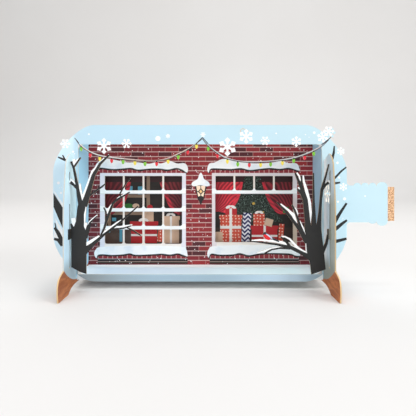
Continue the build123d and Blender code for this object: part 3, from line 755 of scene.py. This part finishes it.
def even_bend(points, steps=40):
    """Points along the wire itself, which bends evenly from one of its points to the next.

    The slopes at its ends are those of a cubic through the four points there.
    """
    at = np.array(points)
    reach = np.hypot(*np.diff(at, axis=0).T)
    knots = np.append(0.0, np.cumsum(reach))
    steepness = np.diff(at, axis=0) / reach[:, None]
    rows, sums = np.eye(len(at)), np.zeros(at.shape)
    for end, four in ((0, slice(0, 4)), (-1, slice(-4, None))):
        for axis in (0, 1):
            cubic = np.polyfit(knots[four], at[four, axis], 3)
            sums[end, axis] = np.polyval(np.polyder(cubic), knots[end])
    for k in range(1, len(at) - 1):
        rows[k, k - 1:k + 2] = reach[k], 2 * (reach[k - 1] + reach[k]), reach[k - 1]
        sums[k] = 3 * (reach[k] * steepness[k - 1] + reach[k - 1] * steepness[k])
    slopes = np.linalg.solve(rows, sums)
    t = np.linspace(0, 1, steps + 1)[1:, None]
    line = [at[:1]]
    for k, h in enumerate(reach):
        ends = (2 * t**3 - 3 * t**2 + 1) * at[k] + (3 * t**2 - 2 * t**3) * at[k + 1]
        line.append(ends + h * ((t**3 - 2 * t**2 + t) * slopes[k] + (t**3 - t**2) * slopes[k + 1]))
    return np.concatenate(line)


def hung_bulbs(points, shares):
    """Middles of bulbs below a swag, to a hundredth of a millimetre."""
    line = even_bend(points)
    run = np.append(0.0, np.cumsum(np.hypot(*np.diff(line, axis=0).T)))
    x, z = (np.interp(np.array(shares) * run[-1], run, line[:, axis]) for axis in (0, 1))
    return [(round(a, 2), round(b, 2)) for a, b in zip(x.tolist(), (z - BULB_DROP).tolist())]


left_points = swag_points(left_hook, middle_hook, left_swag)
right_points = swag_points(middle_hook, right_hook, right_swag)
print_shapes("wire_shade", "panel_board", WIRE_LINE, [
    wire_line(left_points, 0.44, 0.36), wire_line(right_points, 0.44, 0.36),
    strip([(-79, 94.6, 0.4), (-77.2, 92.6, 0.5), (-76.4, 91.4, 0.5)]),
    strip([(-2.6, 90.9, 0.5), (1.5, 95, 0.5)]), strip([(1.5, 95, 0.5), (5.2, 90.9, 0.5)]),
    strip([(76.6, 90.4, 0.7), (79.4, 92.4, 0.7), (82.6, 95.2, 0.5)]),
], layer=3)
print_shapes("cut_marks", "panel_board", CUT_MARK, [
    strip([(25.6, 97, 0.35), (25.6, 99.6, 0.35), (27, 100.8, 0.35), (28.4, 99.8, 0.35)]),
    strip([(28.9, 98.6, 0.35), (29.6, 99.6, 0.35), (30.8, 98.8, 0.35)]),
], layer=4)


# Snow over and under the windows, as upper and lower edges from left to right

snow_beds = [
    ([(-73.4, 76.8), (-71.6, 80), (-66.4, 82.7), (-58.5, 81.6), (-51.5, 80.1), (-43.5, 80.1), (-36.5, 79.1),
      (-31, 80.1), (-27.5, 79.3), (-21.3, 81), (-16.4, 79.3), (-11.2, 79.5), (-8.9, 76.6)],
     [(-72.6, 75.2), (-70, 76.5), (-61.6, 75.5), (-55, 75.8), (-48.4, 76.3), (-43.5, 75.1), (-35.2, 75.8),
      (-28.5, 75.8), (-22.7, 75.1), (-17, 76.2), (-12.9, 75.1), (-9.4, 73)]),
    ([(-74, 16.2), (-72.8, 19.6), (-68, 21.4), (-40, 22.2), (-13.5, 21.4), (-10, 19.6), (-9.2, 16.6)],
     [(-72.5, 13.4), (-71.6, 15.5), (-68.6, 16.2), (-61.6, 15.7), (-54, 16.1), (-49, 16.8), (-44.9, 15.8),
      (-33.1, 16.2), (-27, 16.6), (-21.3, 16), (-16, 16.8), (-12.4, 15.8), (-9.2, 14.7)]),
    ([(4.6, 75.2), (6, 79.2), (9.8, 80), (15.6, 82.5), (23.2, 81.2), (34.4, 79.5), (47, 79.6), (56, 81),
      (61, 79.6), (66.6, 79.4), (68.5, 76.4)],
     [(5.6, 73), (7.4, 75.8), (15.6, 75.7), (21.5, 75.5), (28, 76.1), (34.4, 74.8), (41.3, 75.6),
      (48.3, 76.2), (55.2, 75.6), (61.5, 76.3), (68.4, 74.4)]),
    ([(4.6, 16.4), (5.8, 19.8), (10, 21.8), (38, 22.6), (64.6, 21.8), (68.2, 19.8), (69.1, 16.6)],
     [(5.6, 13.8), (7.4, 16.6), (13.5, 15.9), (22.5, 16.1), (27.4, 17), (33.7, 15.5), (42.7, 16.9),
      (60.8, 16.8), (65.8, 15.3), (69, 15.2)]),
]
# a dark line is printed along the lower edge of each, thinner at its ends
shade_lines = [
    strip([(x, z - 0.45 + 0.2 * math.sin(1.1 * x), 1.4) for x, z in smooth(lower, closed=False)])
    for _, lower in snow_beds
]
beds = [smooth(lower + upper[::-1]) for upper, lower in snow_beds]
print_shapes("snow_shade_lines", "brick_board", SHADE_LINE, shade_lines, layer=2)
print_shapes("window_snow", "brick_board", SNOW, beds, layer=3)

# Wall lamp: snow on its cap, a dark case, and panes round a lit diamond
lamp_cap = smooth([
    (0.2, 73), (-1.2, 71), (-2.2, 68.4), (-5.6, 66.4), (-6.2, 64.4), (-4.6, 63.4), (-0.4, 64.2),
    (4.4, 63.4), (6.2, 64.3), (5.6, 66.4), (2.4, 68.6), (1.5, 71),
])
lamp_case = [
    (-4.4, 64.4), (-2.1, 55.6), (-2.5, 55.2), (-1.1, 53.2), (-0.2, 50.8), (0.5, 50.8), (1.4, 53.2),
    (2.7, 55.2), (2.3, 55.6), (4.8, 64.4),
]
half_panes = [
    [(-0.1, 63.8), (-3.1, 63.8), (-2.4, 60.1), (-1.6, 60.1), (-0.1, 62)],
    [(-0.1, 57.7), (-1.6, 59.5), (-2.3, 59.5), (-1.6, 56.2), (-0.1, 56.9)],
]
LAMP_MIDDLE = 0.15
mirrored_panes = [[(2 * LAMP_MIDDLE - x, z) for x, z in pane] for pane in half_panes]
print_shapes("lamp_case", "brick_board", SHADE_LINE, [lamp_case], layer=2)
print_shapes("lamp_panes", "brick_board", LAMP_GLASS, half_panes + mirrored_panes, layer=3)
print_shapes("lamp_flame", "brick_board", LAMP_FLAME, [
    [(LAMP_MIDDLE, 61.3), (-0.95, 59.8), (LAMP_MIDDLE, 58.4), (1.25, 59.8)],
], layer=4)
print_shapes("lamp_snow", "brick_board", SNOW, [lamp_cap], layer=4)


# Room behind the windows: curtains as an outline, a bright edge and the place of their tie

left_red, left_dark, edge_red = ink(136, 44, 52), ink(80, 30, 36), ink(214, 50, 66)
right_red, right_dark, far_red = ink(238, 60, 76), ink(152, 36, 48), ink(156, 46, 58)
curtains = {
    "first_curtain": (
        left_dark, left_red, (-76, 36),
        [(-69.3, 66.3), (-49.5, 66.3), (-51.2, 58.5), (-54.1, 51.4), (-58.7, 46.5), (-62.9, 42.9),
         (-69.3, 42.2)],
        [(-50.6, 66.3, 2.6), (-52.6, 58.5, 2.8), (-55.6, 51.4, 2.6), (-60.2, 46.8, 2.4), (-66, 43.4, 2)],
    ),
    "second_curtain": (
        left_dark, left_red, (-4, 36),
        [(-28.9, 66.3), (-26.8, 60.7), (-24.3, 53.6), (-21.1, 47.2), (-16.8, 43.3), (-11.9, 42.2),
         (-11.9, 66.3)],
        [(-28.2, 66.3, 2), (-26, 60.7, 2.4), (-23.2, 53.6, 2.6), (-19.6, 47, 2.6), (-15, 43.6, 2)],
    ),
    "third_curtain": (
        right_dark, right_red, (3, 38),
        [(9.4, 66.3), (30, 66.3), (28.2, 58.5), (25.8, 52.1), (22.2, 47.2), (17.8, 44), (13, 45.4),
         (9.4, 45)],
        [(29.2, 66.3, 1.8), (27.4, 58.5, 2), (24.6, 52.1, 2.2), (20.6, 47.4, 2.2), (16.4, 45, 1.6)],
    ),
    "fourth_curtain": (
        left_dark, far_red, (74, 36),
        [(43.5, 66.3), (46.3, 57.1), (49.5, 50.7), (54.1, 44.7), (59.5, 43.4), (66.9, 44.3), (66.9, 66.3)],
        [(44.5, 66.3, 2.2), (47.3, 57.1, 2.4), (50.6, 50.7, 2.6), (55, 45.4, 2.4), (59.6, 44.4, 1.8)],
    ),
}
for name, (dark, light, tie, outline, edge) in curtains.items():
    cloth = printed(name + "_print", drape(dark, light, *tie), 0.08)
    hem = printed(name + "_edge_print", drape(light, edge_red, *tie), 0.08)
    print_shapes(name, "room_board", cloth, [outline], layer=2)
    print_shapes(name + "_edge", "room_board", hem, [strip(smooth(edge, closed=False))], layer=3)
print_shapes("fir_tree", "room_board", FIR_GREEN, [[
    (36.4, 76.3), (43.5, 67.8), (40.7, 67), (49.2, 58.5), (44.9, 57.8), (54.1, 49.3), (49.9, 48.6),
    (59.1, 38), (16.5, 38), (22.9, 48.6), (19.4, 49.3), (27.9, 57.8), (24.3, 58.5), (32.1, 67), (30, 67.8),
]], layer=1)
print_shapes("shelves", "room_board", SHELF_WOOD, [
    bar(-38.4, -36, 48.5, 70.6), bar(-54.4, -36, 55.3, 57.5), bar(-63.6, -41, 43, 45.4),
    bar(-65.8, -63.6, 35, 43.6),
], layer=1)
print_shapes("tan_gifts", "room_board", GIFT_TAN, [
    bar(-26.6, -15.4, 23, 39.6), bar(-27.2, -14.8, 39.6, 42.2), bar(-41.6, -33.4, 38.4, 45.2),
    bar(10.4, 15.6, 23, 31), oval(-46, 49.4, 2.4, 1.7), strip([(47.6, 35.2, 5.6), (49, 40.2, 5.6)]),
], layer=3)
print_shapes("red_gifts", "room_board", GIFT_RED, [
    bar(-49.4, -31, 23, 35.6), bar(-50.2, -30.2, 35.6, 38.4), bar(36.2, 54.4, 23, 33),
    bar(35.4, 55.2, 33, 35.4), bar(17.6, 25.6, 43, 47.6), oval(-36, 48.6, 2, 1.6),
], layer=3)
print_shapes("orange_gifts", "room_board", GIFT_ORANGE, [
    bar(13.8, 28.8, 23, 40), bar(13.2, 29.4, 40, 43), bar(37.4, 45.4, 35.4, 43.8),
    strip([(-29.2, 24, 3.6), (-28.2, 33, 3.6)]), strip([(56.6, 24, 3.6), (57.6, 36.6, 3.6)]),
], layer=2)
print_shapes("striped_gifts", "room_board", GIFT_STRIPES, [
    strip([(31.6, 24, 5.8), (33.2, 44.4, 5.8)]),
], layer=3)
print_shapes("gift_ribbons", "room_board", RIBBON, [
    bar(-41.4, -39.6, 23, 38.4), bar(-49.4, -31, 28, 29.4), *bow(-40.5, 39.5, 1.7, 2, 1),
    bar(-21.8, -20.4, 23, 42.2), *bow(-21.2, 43.2, 1.6, 1.8, 0.9),
    bar(20.4, 22.2, 23, 47.6), bar(13.8, 28.8, 33.2, 35.2), *bow(21.4, 48.6, 1.8, 2, 1),
    bar(44.6, 46.2, 23, 35.4), bar(36.2, 54.4, 27.4, 28.8), *bow(41.4, 44.8, 1.4, 1.7, 0.9),
], layer=4)
print_shapes("teal_jars", "room_board", TEAL, [
    bar(-50.4, -48.4, 60.2, 63.4), bar(-44.6, -40.8, 57.5, 63.2), bar(-57.6, -55.6, 24, 33),
    bar(-62.9, -60, 38.6, 41), bar(-66, -64.2, 30.5, 34.4),
], layer=2)
print_shapes("plant_leaves", "room_board", LEAF_GREEN, [
    oval(-51.2, 49.3, 3.2, 1.8), oval(60.4, 46.4, 3, 1.2, 50),
], layer=3)
print_shapes("gold_baubles", "room_board", GOLD, [
    oval(37.5, 51.1, 0.95, 0.95), oval(44.4, 45, 0.6, 0.6),
], layer=3)


# Repeated prints, from Geometry Nodes


class GeometryTree(Nodes):
    """A Geometry Nodes tree with named inputs, ending in Realize Instances and Set Material."""

    def __init__(self, name, floats, **others):
        super().__init__(bpy.data.node_groups.new(name, "GeometryNodeTree"))
        interface = self.tree.interface
        interface.new_socket("Geometry", in_out="OUTPUT", socket_type="NodeSocketGeometry")
        kinds = {"Geometry": "Geometry", **dict.fromkeys(floats, "Float"), **others, "Material": "Material"}
        for socket, kind in kinds.items():
            interface.new_socket(socket, in_out="INPUT", socket_type="NodeSocket" + kind)
        self.given = self.add("NodeGroupInput").outputs
        self.result = self.add("NodeGroupOutput")

    def named(self, name):
        return self.first("GeometryNodeInputNamedAttribute", {"Name": name}, data_type="FLOAT")

    def transform(self, geometry, **change):
        return self.first("GeometryNodeTransform", {"Geometry": geometry, **change})

    def disc(self, corners):
        """A disc with so many corners that faces the viewer, 1 across and 1 deep."""
        inputs = {"Vertices": corners, "Radius": 0.5, "Depth": 1.0}
        lying = self.first("GeometryNodeMeshCylinder", inputs)
        return self.transform(lying, Rotation=(math.pi / 2, 0, 0))

    def on_points(self, points, instance, scale, **turn):
        inputs = {"Points": points, "Instance": instance, "Scale": scale, **turn}
        return self.first("GeometryNodeInstanceOnPoints", inputs)

    def finish(self, instances):
        real = self.first("GeometryNodeRealizeInstances", {"Geometry": instances})
        inputs = {"Geometry": real, "Material": self.given["Material"]}
        self.link(self.first("GeometryNodeSetMaterial", inputs), self.result.inputs[0])
        return self.tree


def make_disc_tree():
    """Ovals on points, each with its own share of the size. Taper narrows their lower end."""
    tree = GeometryTree("ovals_on_points", ["Width", "Height", "Thickness", "Taper"])
    split = tree.add("ShaderNodeSeparateXYZ", {0: tree.first("GeometryNodeInputPosition")}).outputs
    width = tree.times(split["X"], tree.math("MULTIPLY_ADD", split["Z"], tree.given["Taper"], 1.0))
    narrowed = {"Geometry": tree.disc(16), "Position": tree.vector(width, split["Y"], split["Z"])}
    drop = tree.first("GeometryNodeSetPosition", narrowed)
    size = tree.vector(tree.given["Width"], tree.given["Thickness"], tree.given["Height"])
    shaped = tree.transform(drop, Scale=size)
    return tree.finish(tree.on_points(tree.given["Geometry"], shaped, tree.named("share")))


def make_flake_tree():
    """Flakes of six spokes with kite-shaped heads, on points, each with its own radius and turn."""
    tree = GeometryTree("flakes_on_points", ["Spoke Width", "Head Length", "Head Width", "Thickness"])
    thick, long = tree.given["Thickness"], tree.given["Head Length"]
    spoke_size = tree.vector(0.6, thick, tree.given["Spoke Width"])
    spoke = tree.first("GeometryNodeMeshCube", {"Size": spoke_size})
    head_size = tree.vector(long, tree.times(thick, 0.94), tree.given["Head Width"])
    head_place = tree.vector(tree.math("MULTIPLY_ADD", long, -0.5, 1.0))
    one = tree.add("GeometryNodeJoinGeometry")
    parts = [
        tree.transform(spoke, Translation=(0.3, 0, 0)),
        tree.transform(tree.disc(4), Translation=head_place, Scale=head_size),
    ]
    for part in parts:
        tree.link(part, one.inputs[0])
    hub = tree.first("GeometryNodeMeshLine", {"Count": 6, "Offset": (0, 0, 0)})
    index = tree.first("GeometryNodeInputIndex")
    turn = tree.vector(y=tree.times(index, math.radians(60)))
    # each spoke is a little thicker than the one before, so that no two faces lie in one plane
    step = tree.vector(1.0, tree.math("MULTIPLY_ADD", index, 0.01, 1.0), 1.0)
    flake = tree.on_points(hub, one.outputs[0], step, Rotation=turn)
    spin = tree.vector(y=tree.named("turn"))
    return tree.finish(tree.on_points(tree.given["Geometry"], flake, tree.named("radius"), Rotation=spin))


def make_fleck_tree():
    """Flecks of snow scattered over faces, from a fixed seed."""
    tree = GeometryTree("flecks_on_faces", ["Density", "Smallest", "Largest", "Thickness"], Seed="Int")
    given = tree.given
    points = tree.first("GeometryNodeDistributePointsOnFaces", {
        "Mesh": given["Geometry"], "Density": given["Density"], "Seed": given["Seed"],
    })
    limits = {2: given["Smallest"], 3: given["Largest"], "Seed": given["Seed"]}
    size = tree.add("FunctionNodeRandomValue", limits, data_type="FLOAT").outputs[1]
    return tree.finish(tree.on_points(points, tree.disc(8), tree.vector(size, given["Thickness"], size)))


def grow(name, tree, source, values):
    """Runs a Geometry Nodes tree on a source mesh and keeps the result as a plain piece."""
    seed = add_object(name + "_source", source)
    modifier = seed.modifiers.new("grow", "NODES")
    modifier.node_group = tree
    sockets = {s.name: s.identifier for s in tree.interface.items_tree if s.in_out == "INPUT"}
    for key, value in values.items():
        modifier[sockets[key]] = value
    evaluated = seed.evaluated_get(bpy.context.evaluated_depsgraph_get())
    mesh = bpy.data.meshes.new_from_object(evaluated)
    seed.modifiers.remove(modifier)
    bpy.data.objects.remove(seed)
    mesh.name = name
    add_piece(name, mesh)


def point_mesh(name, slot, points, **attributes):
    """Loose points on a sheet's face, each with the named numbers."""
    mesh = bpy.data.meshes.new(name)
    mesh.from_pydata(in_frame(points, FACE_Y[slot]), [], [])
    for key, values in attributes.items():
        mesh.attributes.new(key, "FLOAT", "POINT").data.foreach_set("value", values)
    return mesh


def patch_mesh(name, slot, patches):
    """Rectangles on a sheet's face, for flecks to be scattered over."""
    mesh = bpy.data.meshes.new(name)
    corners = [corner for patch in patches for corner in bar(*patch)]
    faces = [range(4 * k, 4 * k + 4) for k in range(len(patches))]
    mesh.from_pydata(in_frame(corners, FACE_Y[slot]), [], faces)
    return mesh


DISCS = make_disc_tree()
FLAKES = make_flake_tree()
FLECKS = make_fleck_tree()


def print_ovals(name, material, points, shares, size, taper=0.0):
    """Ovals on the panel. size is width, height and thickness in millimetres, times its share."""
    width, height, thickness = (length * MM for length in size)
    grow(name, DISCS, point_mesh(name, "panel_board", points, share=shares), {
        "Width": width, "Height": height, "Thickness": thickness, "Taper": taper, "Material": material,
    })


# Bulbs and the caps over them
places = hung_bulbs(left_points, left_bulbs) + hung_bulbs(right_points, right_bulbs)
bulbs = {"g": ("green_bulbs", BULB_GREEN), "r": ("red_bulbs", BULB_RED), "y": ("yellow_bulbs", BULB_YELLOW)}
above = []
for letter, (name, material) in bulbs.items():
    own = [place for place, colour in zip(places, bulb_colours) if colour == letter]
    print_ovals(name, material, own, [1.0] * len(own), (1.75, 2.9, 0.06), taper=0.7)
    above += [(x, z + CAP_RISE) for x, z in own]
print_ovals("bulb_sockets", SOCKET, above, [1.0] * len(above), (0.9, 1.0, 0.1))

# Flakes as (x, z, radius, turn in degrees)
flakes = [
    (-60.5, 89.56, 5.1, 30), (-46.3, 91.16, 3.4, 0), (17.3, 89.06, 6, 30), (60.7, 92.36, 3.5, 30),
    (-84.9, 91, 3.4, 0), (81.1, 98.9, 3.6, 0), (88.7, 86.3, 2.7, 30), (29.1, 95.6, 4.8, 30),
    (41, 92.9, 3.1, 0), (77.3, 95.2, 3.7, 20), (90.3, 63.8, 2.7, 30), (1.9, 96.8, 1.7, 0),
    (-20.2, 95.8, 1.5, 30),
]
flake_points = point_mesh(
    "panel_flakes", "panel_board", [flake[:2] for flake in flakes],
    radius=[flake[2] * MM for flake in flakes], turn=[math.radians(flake[3]) for flake in flakes],
)
grow("panel_flakes", FLAKES, flake_points, {
    "Spoke Width": 0.22, "Head Length": 0.62, "Head Width": 0.62, "Thickness": 0.024, "Material": FLAKE,
})

# Dots of snow as (x, z, diameter)
panel_dots = [
    (-26.5, 94.3, 3.2), (-20.2, 96.2, 1.6), (-89.2, 66.3, 1.8), (-87.6, 60, 1.4), (91.1, 56.3, 2),
    (87.7, 69.7, 1.4), (86.9, 54.5, 1.4), (86.6, 79, 1.6), (-80, 86, 1.4), (104, 58, 1),
    (72, 98, 1.6), (-70, 97, 1.2), (48, 97.5, 1),
]
middles, diameters = [dot[:2] for dot in panel_dots], [dot[2] for dot in panel_dots]
print_ovals("panel_dots", FLAKE, middles, diameters, (1.0, 1.0, 0.015))

# Flecks as (slot, material, number a square metre, seed, smallest, largest, thickness, patches)
flecks = {
    "panel_flecks": ("panel_board", FLAKE, 24000.0, 5, 0.3, 0.8, 0.018, [
        (-91, -78.5, 30, 76), (78.5, 91, 26, 80), (-80, -74, 76, 94),
        (66, 84, 92, 97),
    ]),
    "brick_flecks": ("brick_board", FLAKE, 42000.0, 7, 0.3, 0.75, 0.03, [
        (-76.5, -70.6, 9.5, 91), (-9.6, 7.4, 9.5, 91), (67.6, 76.5, 9.5, 91),
        (-70.6, -9.6, 73, 91), (7.4, 67.6, 73, 91), (-70.6, -9.6, 9.5, 16), (7.4, 67.6, 9.5, 16),
    ]),
    "fir_sparkles": ("room_board", SPARKLE, 220000.0, 3, 0.16, 0.42, 0.05, [
        (30, 43, 58, 69), (26, 48, 50, 58), (33, 50, 45, 50),
    ]),
}
for name, (slot, material, density, seed, smallest, largest, thickness, patches) in flecks.items():
    grow(name, FLECKS, patch_mesh(name, slot, patches), {
        "Density": density, "Seed": seed, "Smallest": smallest * MM, "Largest": largest * MM,
        "Thickness": thickness * MM, "Material": material,
    })


# Studio, in metres

WHITE = (1.0, 1.0, 1.0, 1.0)
AIR_LIGHT, AIR_SEEN = 0.44, 0.76
FADE_START, FADE_END = 1.85, 3.6
TURN_Y, TURN_RADIUS, TURN_STEPS = 0.9, 0.5, 15
HALF_WIDTH, NEAR_END, SWEEP_TOP = 12.0, -12.0, 3.0
AIM = Vector((0, 0, 0.05))

# Softboxes as (place, size, power)
SOFTBOXES = {
    "key_softbox": ((1.4, -1.25, 0.8), 0.8, 13.5),
    "front_softbox": ((-0.8, -1.6, 0.5), 1.2, 8.0),
    "side_softbox": ((1.9, -0.55, 0.5), 0.6, 10.0),
    "top_softbox": ((0.0, -0.05, 1.5), 0.7, 11.5),
    "back_softbox": ((-0.3, 0.9, 0.9), 0.8, 2.5),
}


def as_seen(nodes):
    """1 where the camera looks, directly or through gloss or glass."""
    rays = nodes.add("ShaderNodeLightPath").outputs
    return either(nodes, [rays[kind] for kind in ("Is Camera Ray", "Is Glossy Ray", "Is Transmission Ray")])


def paint_backdrop():
    """Pale floor and backdrop in one sweep, which fades into the air where the lamps don't reach."""
    material, nodes, shader = new_material("studio_sweep", 0.9)
    place = nodes.place()
    haze = nodes.mix(nodes.noise(place, 3.0), ink(222, 220, 218), ink(228, 227, 226))
    nodes.link(haze, shader.inputs["Base Color"])
    away = nodes.add("ShaderNodeVectorMath", {0: place}, operation="LENGTH").outputs["Value"]
    far = nodes.times(as_seen(nodes), ramp(nodes, away, FADE_START, FADE_END))
    air = nodes.first("ShaderNodeEmission", {"Color": WHITE, "Strength": AIR_SEEN})
    both = nodes.first("ShaderNodeMixShader", {0: far, 1: shader.outputs[0], 2: air})
    nodes.link(both, nodes.tree.nodes["Material Output"].inputs["Surface"])
    return material


def build_sweep():
    """Floor that curves up into a backdrop behind the card."""
    profile = [(NEAR_END, 0.0), (TURN_Y, 0.0)]
    for k in range(1, TURN_STEPS + 1):
        a = math.radians(90 * k / TURN_STEPS)
        profile.append((TURN_Y + TURN_RADIUS * math.sin(a), TURN_RADIUS * (1 - math.cos(a))))
    profile.append((TURN_Y + TURN_RADIUS, SWEEP_TOP))
    mesh = bpy.data.meshes.new("studio_sweep")
    points = [(side * HALF_WIDTH, y, z) for y, z in profile for side in (-1, 1)]
    mesh.from_pydata(points, [], [(2 * k, 2 * k + 1, 2 * k + 3, 2 * k + 2) for k in range(len(profile) - 1)])
    for face in mesh.polygons:
        face.use_smooth = True
    mesh.materials.append(paint_backdrop())
    add_object("studio_sweep", mesh)


def add_softboxes():
    for name, (place, size, power) in SOFTBOXES.items():
        light = bpy.data.lights.new(name, "AREA")
        light.size = size
        light.energy = power
        lamp = add_object(name, light)
        lamp.location = place
        lamp.rotation_euler = (AIM - Vector(place)).to_track_quat("-Z", "Y").to_euler()


def add_air():
    """The air looks brighter, to the camera and in gloss, than the light that it gives."""
    world = bpy.data.worlds.new("studio_air")
    world.use_nodes = True
    nodes = Nodes(world.node_tree)
    light = world.node_tree.nodes["Background"]
    light.inputs["Color"].default_value = WHITE
    light.inputs["Strength"].default_value = AIR_LIGHT
    seen = nodes.first("ShaderNodeBackground", {"Color": WHITE, "Strength": AIR_SEEN})
    both = nodes.first("ShaderNodeMixShader", {0: as_seen(nodes), 1: light.outputs[0], 2: seen})
    nodes.link(both, world.node_tree.nodes["World Output"].inputs["Surface"])
    bpy.context.scene.world = world


def add_camera():
    lens = bpy.data.cameras.new("camera")
    lens.sensor_width = 36.0
    lens.lens = 37.22
    lens.shift_x = 0.0041
    lens.shift_y = -0.0793
    lens.clip_start = 0.01
    camera = add_object("camera", lens)
    camera.location = Vector(CAMERA_AT) * MM
    camera.rotation_euler = (math.pi / 2, 0, 0)
    bpy.context.scene.camera = camera
    bpy.context.scene.view_settings.view_transform = "Standard"


build_sweep()
add_softboxes()
add_air()
add_camera()
